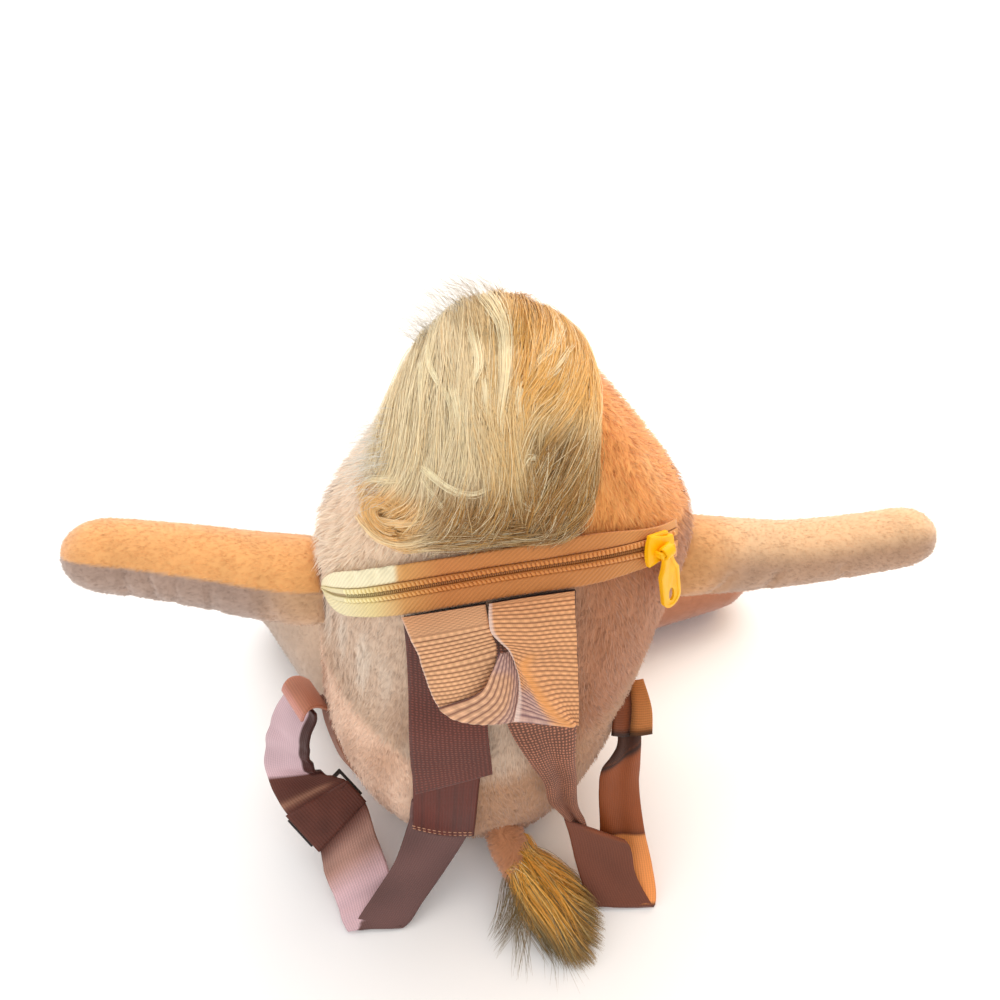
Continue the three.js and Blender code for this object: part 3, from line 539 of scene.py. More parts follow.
def plushTone(p):
    x, y, z = p.T
    t = plushTones
    streak = ramp(0.0, 0.9, wobble(p * (1, 1, 0.35), 16, 3))
    # the right of the back is browner, partly the plush's own tone and partly painted shade
    tone = layered(even(t["back"], p), t, [
        ("backRight", ramp(14, 66, x)),
        ("flank", ramp(-62, -84, x) * 0.7),
        ("backPale", 0.6 * streak * ramp(24, -6, x)),
        ("flank", 0.55 * ramp(34, 6, z - seatSeam(x)) * (y < 0) * ramp(-20, -50, x))])
    # painted shade beside the straps
    for where, size, shade in plushPatches:
        near = np.exp(-((x - where[0]) / size[0]) ** 2 - ((z - where[1]) / size[1]) ** 2) * (y < 0)
        tone = tone * (1 - near[:, None] * (1 - np.array(shade)))
    blur = 12 * ramp(-14, 6, x)
    seat = ramp(4 + blur, -4 - blur, z - seatSeam(x)) * (y < 0)
    sole = layered(even(t["seatLeft"], p), t, [
        ("seat", ramp(-34, 8, x)),
        ("seatDeep", 0.6 * ramp(0.0, 0.9, wobble(p, 20, 5)))])
    tone = blendTone(tone, sole, np.maximum(seat, ramp(60, 20, z)))
    softer = 22 * ramp(0, 40, y)
    head = ramp(-4 - softer, 6 + softer, z - np.where(y < 10, zipHeight(x), 246))
    # the orange over the right of the head and its brighter patches are painted warm light and highlight
    crown = layered(even(t["headLeft"], p), t, [
        ("headRight", ramp(8, 62, x) * (1 - 0.75 * ramp(5, 50, y))),
        ("headGlow", 0.6 * ramp(0.1, 0.9, wobble(p, 20, 8)) * ramp(30, 70, x) * ramp(50, 5, y))])
    tone = blendTone(tone, crown, head)
    return blendTone(tone, t["belly"], ramp(25, 60, y) * (1 - head) * 0.8)


# plush of dyed pile: soft rough tips in tufts of about 4 mm, a little light caught at the rim
def pileMaterial(name, roughness, sheen):
    made, tree, shader = newMaterial(name, {"Roughness": roughness, "Sheen Weight": sheen,
                                            "Sheen Roughness": 0.6, "Specular IOR Level": 0.2})
    where = addNode(tree, "ShaderNodeTexCoord")
    fleck = addNode(tree, "ShaderNodeTexNoise", None, {"Scale": 260.0, "Detail": 3.0},
                    {"Vector": where.outputs["Object"]})
    paintedBase(tree, shader, fleck.outputs["Fac"], {"To Min": 0.92, "To Max": 1.08})
    bump = addNode(tree, "ShaderNodeBump", None, {"Strength": 0.35, "Distance": 0.0006},
                   {"Height": fleck.outputs["Fac"]})
    tree.links.new(bump.outputs["Normal"], shader.inputs["Normal"])
    return made


longPile = pileMaterial("acrylicLongPile", 0.9, 0.3)
velboa = pileMaterial("polyesterVelboa", 0.82, 0.45)

skinPoints = pointsOf(body) / mm
# the skin under the pile is painted a little darker, as shade under the blades
setTone(body, plushTone(skinPoints) * 0.92)
finishPiece(body, longPile, ["body"])

limbTones = {  # upper panel painted lit, lower panel painted in shade, angles that the change takes, and the sewn end; the right leg's orange is painted warm light
    "arm_left": (linear("#ecac66"), linear("#aa8d7c"), 29, 35, linear("#cca076")),
    "arm_right": (linear("#e9bf91"), linear("#b99070"), 18, 66, linear("#e2a055")),
    "leg_left": (linear("#b69a82"), linear("#a48972"), -20, 40, linear("#a48972")),
    "leg_right": (linear("#bf7b53"), linear("#aa6640"), -30, 60, linear("#aa6640")),
}


def limbTone(name):
    upper, lower, start, end, sewn = limbTones[name]

    def tone(p):
        _, angle, _ = roundLimb(name, p)
        # the upper side is painted lit and the lower side painted in shade
        made = blendTone(even(lower, p), upper, ramp(start, end, angle))
        near = ramp(34, 8, offBody(p)) * (ramp(34, 28, angle) if name == "arm_left" else 0.7)
        return uneven(blendTone(made, sewn, near), p, 0.05, 14, 21)
    return tone


for name, piece in limbPieces.items():
    setTone(piece, limbTone(name)(pointsOf(piece) / mm))
    finishPiece(piece, velboa, [name])

# the sewn end of the tail is drawn up into the plush
stemPoints = pointsOf(stem) / mm
sewnEnd = ramp(*tail["tuckReach"], offBody(stemPoints))[:, None]
setPoints(stem, (stemPoints + sewnEnd * tail["tuck"]) * mm)
# the stem's skin under its pile is painted a little darker, as shade under the blades
setTone(stem, even(plushTones["stem"], stemPoints) * 0.95)
finishPiece(stem, longPile, ["tail_stem"])
setTone(muzzle, even(plushTones["muzzle"], pointsOf(muzzle)))
finishPiece(muzzle, velboa, ["muzzle"])
print("plush skins toned")


# webbing: control rows of five points across, as in the CAD, drawn out to a fine woven strip

web = {"width": 38, "thick": 1.8, "layer": 2.2, "lift": 0.7, "columns": np.linspace(-0.5, 0.5, 5),
       "tapeEdge": 12.6, "tapeGap": 0.8}


def backRow(x, z, width, lift, alongTape=0):
    across = x + width * web["columns"]
    return onBack(across, z + alongTape * (zipHeight(across) - zipHeight(x)), lift + web["thick"] / 2)


# shift, height, widen, layers, share of the tape's slope
def lyingRows(x, rows):
    return [backRow(x + shift, height, web["width"] + widen, web["lift"] + layers * web["layer"], slope)
            for shift, height, widen, layers, slope in rows]


def freeRow(x, y, z, width, turn, bank):
    turn, bank = math.radians(turn), math.radians(bank)
    aim = np.array((math.cos(turn) * math.cos(bank), math.sin(turn) * math.cos(bank), math.sin(bank)))
    return np.array((x, y, z)) + aim * width * web["columns"][:, None]


def freeRows(rows):
    return [freeRow(*row) for row in rows]


def seamRow(x, layers):
    top = zipHeight(x) - web["tapeEdge"] - web["tapeGap"]
    return backRow(x, top - 1 + layers, web["width"], web["lift"] + layers * web["layer"], 1)


# how far along a strip each of its rows is
def runOf(middle):
    return np.concatenate([[0], np.cumsum(np.linalg.norm(np.diff(middle, axis=0), axis=1))])


def stripNormal(grid):
    return unit(np.cross(np.gradient(grid, axis=0), np.gradient(grid, axis=1)))


# rows of points in mm to a closed strip; relief adds height over (across, along) in mm on both faces
def webStrip(name, rows, spec, toneAt, relief=None):
    rows = np.array(rows, float)
    middle = rows.mean(1)
    if "gauge" in spec:  # ribs are counted along this edge
        middle = rows[:, spec["gauge"]]
    run = runOf(middle)
    if "runs" in spec:  # or given for each row
        run = np.array(spec["runs"], float)
    along = np.linspace(0, run[-1], max(4, int(run[-1] / spec["step"]) + 1))
    fine = smoothThrough(run, rows, along)
    columns = np.linspace(0, 1, spec["across"])
    grid = smoothThrough(np.linspace(0, 1, rows.shape[1]), np.moveaxis(fine, 1, 0), columns)
    grid = np.moveaxis(grid, 0, 1)
    acrossMm = np.broadcast_to((columns - 0.5) * spec.get("width", web["width"]), grid.shape[:2])
    alongMm = np.broadcast_to(along[:, None], grid.shape[:2])
    if "shape" in spec:
        grid = spec["shape"](grid, columns, along / run[-1])
    n = stripNormal(grid)
    if spec.get("wave"):
        uneasy = spec["wave"] * wobble(grid, spec.get("waveSize", 14), spec.get("seed", 1))
        grid = grid + n * uneasy[..., None]
    lift = spec.get("thick", web["thick"]) / 2 + (relief(acrossMm, alongMm) if relief else 0)
    lift = np.broadcast_to(lift, grid.shape[:2])[..., None]
    front, back = grid + n * lift, grid - n * lift
    r, c = grid.shape[:2]
    index = np.arange(r * c).reshape(r, c)
    corners = [index[:-1, :-1], index[:-1, 1:], index[1:, 1:], index[1:, :-1]]
    quads = [np.stack(corners, -1).reshape(-1, 4)]
    quads.append(quads[0][:, ::-1] + r * c)
    rim = np.concatenate([index[0, :-1], index[:-1, -1], index[-1, :0:-1], index[:0:-1, 0]])
    nextRim = np.roll(rim, -1)
    quads.append(np.stack([nextRim, rim, rim + r * c, nextRim + r * c], -1))
    faces = np.concatenate(quads)[:, ::-1]
    points = np.concatenate([front.reshape(-1, 3), back.reshape(-1, 3)])
    points[:, 2] = np.maximum(points[:, 2], 0.25)  # kept off the floor
    uv = np.tile(np.stack([acrossMm.ravel(), alongMm.ravel()], -1) / 100, (2, 1))
    tone = toneAt(points, np.tile(acrossMm.ravel(), 2), np.tile(alongMm.ravel(), 2))
    obj = newMesh(name, points * mm, faces, tone, uv)
    editAll(obj)
    bpy.ops.mesh.normals_make_consistent(inside=False)
    pick(obj)
    return obj


# polypropylene webbing: flat yarns with a dull shine, in ribs along it or across it
def webMaterial(name, ribAlong, ribPitch, yarnPitch, roughness, depth, dark, sheen=0.08, speckled=0):
    made, tree, shader = newMaterial(name, {"Roughness": roughness, "Sheen Weight": sheen,
                                            "Sheen Roughness": 0.4, "Specular IOR Level": 0.3})
    uv = addNode(tree, "ShaderNodeUVMap", {"uv_map": "cloth"})
    ribWay, yarnWay = "XY" if ribAlong else "YX"
    ribs = addNode(tree, "ShaderNodeTexWave", {"bands_direction": ribWay},
                   {"Scale": waveScale(ribPitch), "Distortion": 2.6 if speckled else 0.6, "Detail": 1.0,
                    "Detail Scale": 2.0}, {"Vector": uv.outputs["UV"]})
    yarns = addNode(tree, "ShaderNodeTexWave", {"bands_direction": yarnWay},
                    {"Scale": waveScale(yarnPitch), "Distortion": 1.5, "Detail": 1.0, "Detail Scale": 3.0},
                    {"Vector": uv.outputs["UV"]})
    if speckled:  # pale floats where a rib and a yarn meet
        weave = addNode(tree, "ShaderNodeMath", {"operation": "MULTIPLY"}, None,
                        {0: yarns.outputs["Fac"], 1: ribs.outputs["Fac"]})
        span = {"From Min": 0.15, "From Max": 0.75, "To Min": dark, "To Max": speckled}
    else:
        weave = addNode(tree, "ShaderNodeMath", {"operation": "MULTIPLY_ADD"}, {1: 0.35},
                        {0: yarns.outputs["Fac"], 2: ribs.outputs["Fac"]})
        span = {"From Max": 1.35, "To Min": dark, "To Max": 1.08}
    paintedBase(tree, shader, weave.outputs["Value"], span)
    bump = addNode(tree, "ShaderNodeBump", None, {"Strength": 0.6, "Distance": depth * mm},
                   {"Height": weave.outputs["Value"]})
    tree.links.new(bump.outputs["Normal"], shader.inputs["Normal"])
    return made


strapWebbing = webMaterial("polypropyleneStrap", True, 1.7, 1.3, 0.46, 0.18, 0.84)
speckWebbing = webMaterial("polypropyleneSpeckled", True, 2.2, 2.0, 0.5, 0.3, 0.6, speckled=2.3)
fleckWebbing = webMaterial("polypropyleneFlecked", True, 2.0, 1.7, 0.48, 0.25, 0.78, speckled=1.7)
loopWebbing = webMaterial("ribbedLoopWebbing", False, 0.8, 0.8, 0.62, 0.12, 0.86, sheen=0.25)
tabWebbing = webMaterial("tabWebbing", False, 1.4, 1.2, 0.55, 0.2, 0.82)

strap = {"step": 1.8, "across": 21, "wave": 0.35, "waveSize": 26}
# several strap tones are painted light and shade: lit pink, tan highlight, shade at the buckle, under the
# tape and in creases, warm light on the right strap, shaded grooves on the loop
strapTones = tonesOf(
    top="#602e23", seam="#40201a", mid="#5d2316", plum="#6d4c48", rose="#dfbac0", inner="#421a14",
    tan="#ae7f66", buckle="#673a2f", speckDark="#86543f", panel="#75412e", satin="#964c22",
    rust="#f49a54", shade="#22110b", tab="#cf8f80", tabTurn="#be7e64", side="#a06c55",
    tabDark="#814220", tabLit="#d88c4e", ridge="#fcc290", ridgeRight="#ffbc84", groove="#7c4a30",
    mauve="#dab09f", mauveGroove="#6b4650", selvedge="#ecd0c2", crease="#eda05a")

leftTop, rightTop = -12, 29
leftUpperRows = [seamRow(leftTop, 0)] + lyingRows(leftTop, [
    (0, 200, 0, 0, 0), (-1, 170, 0, 0.5, 0), (-1, 146, 1, 2, 0), (-1, 124, 3, 2, 0.6),
    (-0.5, 108, 3, 2, 1.6)])
leftMiddleRows = lyingRows(leftTop, [
    (-3, 140, -2, 1, 0), (-4, 118, -2, 1, 0), (-5.4, 96, -3, 1, 0), (-7, 74, -3, 1, 0), (-9, 45, -3, 1, 0)])

adjuster = {"centre": np.array((-97.0, -55, 31)), "along": unit(np.array((-0.66, 0.57, 0.49))),
            "turn": 44, "bank": 6, "height": 2.5, "skew": -12, "skewReach": 12,
            "flapWidth": 40, "flapShift": -0.5,
            "weave": [(-15, -1), (-8, -1), (-2.6, 1), (2.6, 1), (8, -1), (15, -1)],  # reach, side
            "flap": [(-16, 2.9), (-10, 4.6), (0, 5.2), (9, 4.7), (14, 3.8)]}  # reach, how far below
slots = freeRow(0, 0, 0, 1, adjuster["turn"], adjuster["bank"])[4] * 2
adjuster["across"] = unit(slots - adjuster["along"] * (slots @ adjuster["along"]))
adjuster["out"] = np.cross(adjuster["along"], adjuster["across"])


# a row through the adjuster; the upper rows run askew, lower at their right end
def adjusterRow(reach, out, across):
    row = adjuster["centre"] + adjuster["along"] * reach + adjuster["out"] * out
    skew = adjuster["skew"] * adjuster["along"] * (web["columns"] + 0.5)[:, None]
    return row + adjuster["across"] * across[:, None] + skew * ramp(0, adjuster["skewReach"], reach)


weaveRows = [adjusterRow(reach, side * adjuster["height"], web["width"] * web["columns"])
             for reach, side in adjuster["weave"]]
flapRows = [adjusterRow(reach, -low, adjuster["flapWidth"] * web["columns"] + adjuster["flapShift"])
            for reach, low in adjuster["flap"]]
beforeAdjuster = lyingRows(leftTop, [
    (-8, 78, -2, 0, 0), (-10, 62, -2, 0, 0), (-12, 46, -2, 0, 0)]) + freeRows([
        (-37.2, -94, 27, 31, -10, -6), (-50.5, -106, 14, 29, -12, -8), (-61.2, -116, 4, 31, -6, -3),
        (-65, -118.6, 1.9, 31, 0, 0), (-67.5, -114, 4.2, 32, 10, 3), (-73, -97, 11, 35, 24, 8),
        (-81, -80, 17, 37, 32, 8)])
afterAdjuster = freeRows([
    (-114.5, -41.5, 44, 33, 10, -4), (-117, -37.5, 58, 34, -20, 2), (-114, -31, 78, 33, -40, 0),
    (-110.5, -26.5, 87, 32, -45, 0), (-105.5, -22.5, 95, 30, -45, 0), (-104.4, -22, 101, 29, -45, 0)])
leftLowerRows = beforeAdjuster + weaveRows + afterAdjuster
leftTabRows = freeRows([
    (-108.4, -26.4, 102.8, 27, -57, 0), (-107, -25, 106.2, 27, -57, 0), (-104.5, -22.5, 108, 27, -57, 0),
    (-101, -18.5, 104.5, 27, -57, 0), (-96.5, -13, 92, 27, -57, 0)])
sideRows = freeRows([
    (-91, -17, 93, 10, -50, 0), (-90.4, -24, 80.4, 10, -50, 0), (-86.4, -32.5, 67.8, 10, -50, 0),
    (-79.4, -40, 51.6, 10, -50, 0), (-67, -44, 40, 10, -50, 0)])
rightUpperRows = [seamRow(rightTop, 0)] + lyingRows(rightTop, [
    (1, 200, -1, 0, 0), (3, 174, -1, 0, 0), (6, 148, -2, 0, 0)]) + freeRows([
        (40.2, -80.5, 122, 27, 8, -12), (45.8, -82, 99, 20.5, 14, -18), (48.9, -82, 74, 18.5, 14, -22),
        (53.6, -80, 57, 14, 8, -22), (57.8, -80.5, 46, 12.5, 0, -20), (59.6, -83.5, 39.5, 12, -6, -18)])
rightLowerRows = freeRows([
    (69.8, -85.9, 41, 41, -14, -21), (72.6, -89, 34.5, 40.5, -12, -16), (76, -100, 19, 37, -10, -8),
    (83, -113, 5, 38, -6, -2), (85.5, -116.6, 1.9, 38, -4, 0), (87.5, -113.5, 4, 37, -2, 0),
    (89, -99, 15, 33, 0, 0), (88.4, -82, 30, 27, -4, 4), (86.6, -66, 56, 24.5, 2, 8),
    (87, -61.4, 70, 23, 0, 10), (89, -59.6, 79, 18, 0, 10), (91.2, -56.5, 86, 14, 0, 8),
    (92, -50, 95, 13, 0, 8)])
rightTabRows = np.array([[(80, -57, 98), (91.5, -53, 90), (103.5, -57.5, 98)],
                         [(82.5, -45, 107), (93.5, -41.5, 102), (105, -45, 106)],
                         [(87, -29, 112), (95, -26, 108), (103, -28, 111)]], float)
tailRun = runOf(np.array(leftLowerRows).mean(1))
rightRun = runOf(np.array(rightLowerRows).mean(1))


# spare width goes into soft lengthwise folds where a strap is gathered
def gathered(folds, most):
    def shape(grid, columns, along):
        wide = np.linalg.norm(grid[:, -1] - grid[:, 0], axis=-1)
        spare = np.clip(1 - (wide / web["width"]) ** 2, 0, 1) ** 0.5
        n = stripNormal(grid)
        n = np.where(n[..., 1:2] > 0, -n, n)
        fold = np.sin(columns * math.pi * folds)[None, :] * (most * spare)[:, None]
        return grid + n * fold[..., None]
    return shape


# soft creases across the strap where it bends at the adjuster
def creased(grid, columns, along):
    n = stripNormal(grid)
    run = along * tailRun[-1]
    here = ramp(tailRun[15] - 2, tailRun[15] + 3, run) * ramp(tailRun[18] + 4, tailRun[18] - 6, run)
    low = ramp(tailRun[7], tailRun[7] + 4, run) * ramp(tailRun[10], tailRun[9], run)
    fold = 1.0 * here * np.sin(run / 2.6) + 0.7 * low * np.sin(run / 1.9)
    slant = fold[:, None] * (0.75 + 0.25 * np.cos(columns * 5))[None]
    return grid + n * slant[..., None]


def topTone(p, across, along):
    # painted shade under the zipper tape at the top
    made = blendTone(even(strapTones["top"], p), strapTones["seam"], ramp(200, 218, p[:, 2]))
    fine = 0.08 * np.sin(along * 3.4) * ramp(130, 170, p[:, 2])  # cross ribs show near the top
    return made * (1 + fine + 0.09 * wobble(p, 18, 4))[:, None]


def midTone(p, across, along):
    line = ramp(0.55, 0.95, np.sin(across * 1.35 + 0.6))  # darker warp lines
    return even(strapTones["mid"], p) * (1.08 - 0.3 * line + 0.08 * wobble(p, 18, 4))[:, None]


def leftTailTone(p, across, along):
    run = tailRun
    # the pink is painted light on the lit stretches, the tan is painted highlight at a bend, and the part
    # through the buckle is painted shade
    made = layered(even(strapTones["plum"], p), strapTones, [
        ("rose", ramp(-0.6, 0.6, along - run[6] - 7 * ramp(-15, -5, across))),
        ("tan", 0.8 * ramp(run[8], run[9], along)),
        ("buckle", ramp(run[9] + 3, run[10], along)),
        ("rose", ramp(run[16] + 2, run[16] + 4, along))])
    # the painted light on the hanging part is a little weaker
    made = made * (1 - np.array((0.16, 0.12, 0.11)) * ramp(run[16], run[17], along)[:, None])
    # painted highlight over a crease, and painted shade along the inner edge
    made = layered(made, strapTones, [
        ("tan", 0.8 * np.exp(-((along - run[15] - 3.5) / 2) ** 2) * ramp(17, 4, across)),
        ("inner", ramp(10, 11.2, across) * ramp(run[16] - 2, run[16] + 2, along))])
    return uneven(made, p, 0.12, 16, 6)


def flapTone(p, across, along):
    # the flap under the buckle is painted in shade
    return uneven(even(strapTones["buckle"], p), p, 0.12, 9, 6)


def rightTopTone(p, across, along):
    # painted shade under the zipper tape at the top
    made = blendTone(even(strapTones["speckDark"], p), strapTones["seam"], ramp(200, 218, p[:, 2]))
    return uneven(made, p, 0.08, 16, 9)


def rightTailTone(p, across, along):
    run = rightRun
    # painted warm light on the lower outer panel, a painted highlight along the upper edge, and lighter
    # painted light above the fold
    made = layered(even(strapTones["panel"], p), strapTones, [
        ("rust", ramp(run[4] + 2, run[4] + 3, along)),
        ("satin", 0.5 * ramp(4.5, 1, along) * ramp(-10, 0, across)),
        ("satin", ramp(run[7] - 4, run[7] - 2.6, along))])
    # painted shade in the fold across the panel
    made = made * (1 - 0.45 * np.exp(-((along - run[7] + 2) / 1.6) ** 2))[:, None]
    # a crease of black painted shade runs askew over the neck
    past = along - run[10] - (run[11] - run[9]) / web["width"] * across
    dark = np.maximum(0.94 * np.exp(-(past / 4) ** 2), 0.85 * ramp(0, 4, past))
    return uneven(blendTone(made, strapTones["shade"], dark), p, 0.09, 16, 7)


def leftTabTone(p, across, along):
    made = blendTone(even(strapTones["tab"], p), strapTones["tabTurn"], ramp(4.5, 6, along))
    return uneven(made, p, 0.1, 12, 5)


def sideTone(p, across, along):
    # painted shade under the tab at the top of the strip
    return even(strapTones["side"], p) * (1 - 0.3 * ramp(12, 0, along))[:, None]


# the two leaves of the right tab, one painted in shade and one painted lit, meet in a groove of painted
# shade, and their sewn end is painted in shade
def leafTone(shade, inner):
    def tone(p, across, along):
        dim = (1 - 0.55 * ramp(1.5, 6.5, across * inner)) * (1 - 0.85 * ramp(5.5, 1, along))
        return even(strapTones[shade], p) * (dim * (1 + 0.1 * wobble(p, 12, 5)))[:, None]
    return tone


def strapStrip(name, rows, toneAt, **changes):
    return webStrip(name, rows, {**strap, **changes}, toneAt)


def tabLeaf(name, first, last, shade, inner, **changes):
    bulge = rightTabRows[:, first:last + 1].mean(1) + (0, -0.8, 0.4)
    rows = np.stack([rightTabRows[:, first], bulge, rightTabRows[:, last]], 1)
    return strapStrip(name, rows, leafTone(shade, inner), across=9, wave=0.2, **changes)


tabRight = joined("tab_right", [tabLeaf("tab_right_a", 0, 1, "tabDark", 1, width=14, seed=8),
                                tabLeaf("tab_right_b", 1, 2, "tabLit", -1, width=13, seed=9)])
topLeft = strapStrip("strap_left_top", leftUpperRows, topTone, seed=2)
midLeft = strapStrip("strap_left_mid", leftMiddleRows, midTone, seed=3)
tailLeft = joined("strap_left_tail", [
    strapStrip("strap_left_tail", leftLowerRows, leftTailTone, step=1.3, seed=4, wave=0.6, waveSize=17,
               shape=creased),
    strapStrip("strap_left_flap", flapRows, flapTone, seed=14, wave=0.5)])
topRight = strapStrip("strap_right_top", rightUpperRows, rightTopTone, seed=5, shape=gathered(3, 1.4))
tailRight = strapStrip("strap_right_tail", rightLowerRows, rightTailTone, seed=6, shape=gathered(3, 1.2))
tabLeft = joined("tab_left", [
    strapStrip("tab_left", leftTabRows, leftTabTone, seed=7, width=30),
    strapStrip("tab_side", sideRows, sideTone, across=9, width=10, seed=15)])
strapPieces = [
    finishPiece(topLeft, fleckWebbing, ["strap_left_upper"]),
    finishPiece(midLeft, strapWebbing, ["strap_left_middle"]),
    finishPiece(tailLeft, strapWebbing, ["strap_left_lower"]),
    finishPiece(topRight, speckWebbing, ["strap_right_upper"]),
    finishPiece(tailRight, strapWebbing, ["strap_right_lower"]),
    finishPiece(tabLeft, tabWebbing, ["strap_left_tab"]),
    finishPiece(tabRight, tabWebbing, ["strap_right_tab"]),
]
print("straps woven:", len(strapPieces))


# grab loop: points in its own plane, mm to the left of the inner corner and mm down from it

loop = {
    "corner": np.array((11.7, -79, 219)), "left": unit(np.array((-1, 0, -0.12))),
    "down": unit(np.array((-0.05, -math.sin(math.radians(30)), -math.cos(math.radians(30))))),
    # flat panel at the left: outer end, inner end, height of its middle and inner end, rib count
    "panelRibs": [
        ((40.2, -9.4), (4.3, -11.9), 0.8, 0.4, 4), ((36.6, -1.9), (2.4, -5), 1.2, 0.4, 7.6),
        ((35, 4.4), (0.9, 0), 1.8, 0.2, 10.6), ((33.5, 8.8), (1.4, 6.4), 2.4, 0.2, 12.7),
        ((32, 13.8), (2.6, 11.2), 2.8, 0, 15.1), ((30.5, 18.1), (4, 15.4), 2.8, -0.4, 17.2),
        ((28.7, 22.5), (6.2, 19.6), 2.4, -1, 19.3), ((27, 25.4), (8, 22.4), 1.8, -1.6, 20.6)],
    # the fan that turns over it: outer end, two points between, inner end, height at each
    "fanRibs": [
        ((27.1, 25.3), (9.1, 20), (3, 10.6), (-0.6, 2.5), (2.2, 4.2, 4.4, 2)),
        ((22.6, 29.7), (6.1, 21.9), (0.6, 10.6), (-2.1, 2.8), (2, 4.6, 4.8, 1.4)),
        ((17.7, 32.8), (3, 23.8), (-1.5, 11.3), (-3, 2.8), (1.8, 4.2, 4.4, 0.8)),
        ((12.2, 35), (0, 25.6), (-3.4, 11.9), (-4, 2.8), (1.4, 3.6, 3.8, 0.2)),
        ((6.7, 36.3), (-2.4, 27.5), (-5, 13.1), (-4.8, 3.1), (1, 2.8, 3, -0.4)),
        ((1.8, 37.2), (-4.3, 29.4), (-6.5, 13.8), (-5.5, 3.4), (0.6, 1.8, 2.2, -1)),
        ((-2.4, 37.6), (-6.1, 30.6), (-7.8, 14.4), (-6.3, 4.1), (0.2, 0.8, 1.4, -1.4)),
        ((-5.5, 37.8), (-7.6, 31.3), (-8.9, 15), (-7, 5), (-0.4, 0, 0.6, -1.8)),
        ((-9, 38.2), (-10.5, 32.5), (-11.2, 16), (-8.5, 6), (-1.2, -0.8, -0.2, -2.2))],
    "rightRibs": [  # left end, crease, right end, height of the left end, of the crease
        ((4.4, -13.5), (-14.3, -11.8), (-34.5, -10), 1.6, 1.6),
        ((3.2, -8), (-16, -5.8), (-35.2, -3.6), 2, 1.8),
        ((0.2, -4.2), (-16.8, -1.8), (-35.6, 0.8), 2.4, 2),
        ((-4.5, 0.8), (-15.3, 4.3), (-35.9, 8.6), 2.6, 2.6),
        ((-7.3, 6.1), (-11.5, 8.6), (-36.6, 14.5), 2.4, 3.6),
        ((-9.3, 12.7), (-14.9, 16), (-36.8, 20.5), 1.8, 4.6),
        ((-9.9, 20.7), (-22.2, 27.9), (-37.6, 30.5), 1.2, 5),
        ((-9.6, 26.6), (-27.5, 35.1), (-37.8, 36.6), 0.8, 4.4),
        ((-8.7, 31.5), (-32.4, 39.8), (-38, 41.1), 0.4, 3.2),
        ((-7.9, 37.5), (-35.8, 43.3), (-38.1, 44.2), 0, 2)],
    "ribPitch": 2.1, "ribHeight": 0.46, "fanPitch": 1.12, "step": 0.3, "across": 41, "thick": 1.5,
}
loop["out"] = -unit(np.cross(loop["down"], loop["left"]))


def inLoop(flat, height):
    return loop["corner"] + flat[0] * loop["left"] + flat[1] * loop["down"] + height * loop["out"]


def loopRow(flat, heights):
    return np.array([inLoop(q, h) for q, h in zip(flat, heights)])


def panelRows():
    t = np.linspace(0, 1, 9)
    rows = []
    for first, last, middle, end, _ in loop["panelRibs"]:
        flat = np.array(first) + (np.array(last) - np.array(first)) * t[:, None]
        rows.append(loopRow(flat, [middle * math.sin(math.pi * u) + end * u for u in t]))
    return rows


def fanRows():
    knots, t = np.arange(4), np.linspace(0, 3, 9)
    return [loopRow(smoothThrough(knots, rib[:4], t), smoothThrough(knots, rib[4], t))
            for rib in loop["fanRibs"]]


# left end to crease to right end, the crease standing up
def frontRows(bendAt):
    t = np.linspace(0, 1, 9)[:, None]
    rows = []
    for first, bend, last, firstHeight, creaseHeight in loop["rightRibs"]:
        a, b, c = np.array(first, float), np.array(bend, float), np.array(last, float)
        flat = np.where(t < bendAt, a + (b - a) * t / bendAt, b + (c - b) * (t - bendAt) / (1 - bendAt))
        hump = firstHeight * (1 - t[:, 0]) + creaseHeight * np.exp(-((t[:, 0] - bendAt) / 0.22) ** 2)
        rows.append(loopRow(flat, hump))
    return rows


def ninePoints(row):
    return smoothThrough(np.arange(5), row, np.linspace(0, 4, 9))


leftSeam, rightSeam = ninePoints(seamRow(leftTop, 1)), ninePoints(seamRow(rightTop - 1.2, 1.2))


def ribWave(along):
    return np.abs(np.sin(math.pi * along / loop["ribPitch"])) ** 0.75


def yarnTwist(across, along):
    return np.sin(across * 5.0 + np.floor(along / loop["ribPitch"]) * 2.3)


def ribRelief(fineEnd, soft=None):
    def relief(across, along):
        rib = ribWave(along) * (1 + 0.3 * yarnTwist(across, along)) * ramp(fineEnd - 1, fineEnd + 1, along)
        return loop["ribHeight"] * rib * (1 if soft is None else 1 - 0.6 * soft(across, along)) - 0.05
    return relief


# the lit crease, where the ribs lie flat
def creaseAt(across, along):
    return np.exp(-((across + 4.4) / 3.0) ** 2) * ramp(26, 34, along)


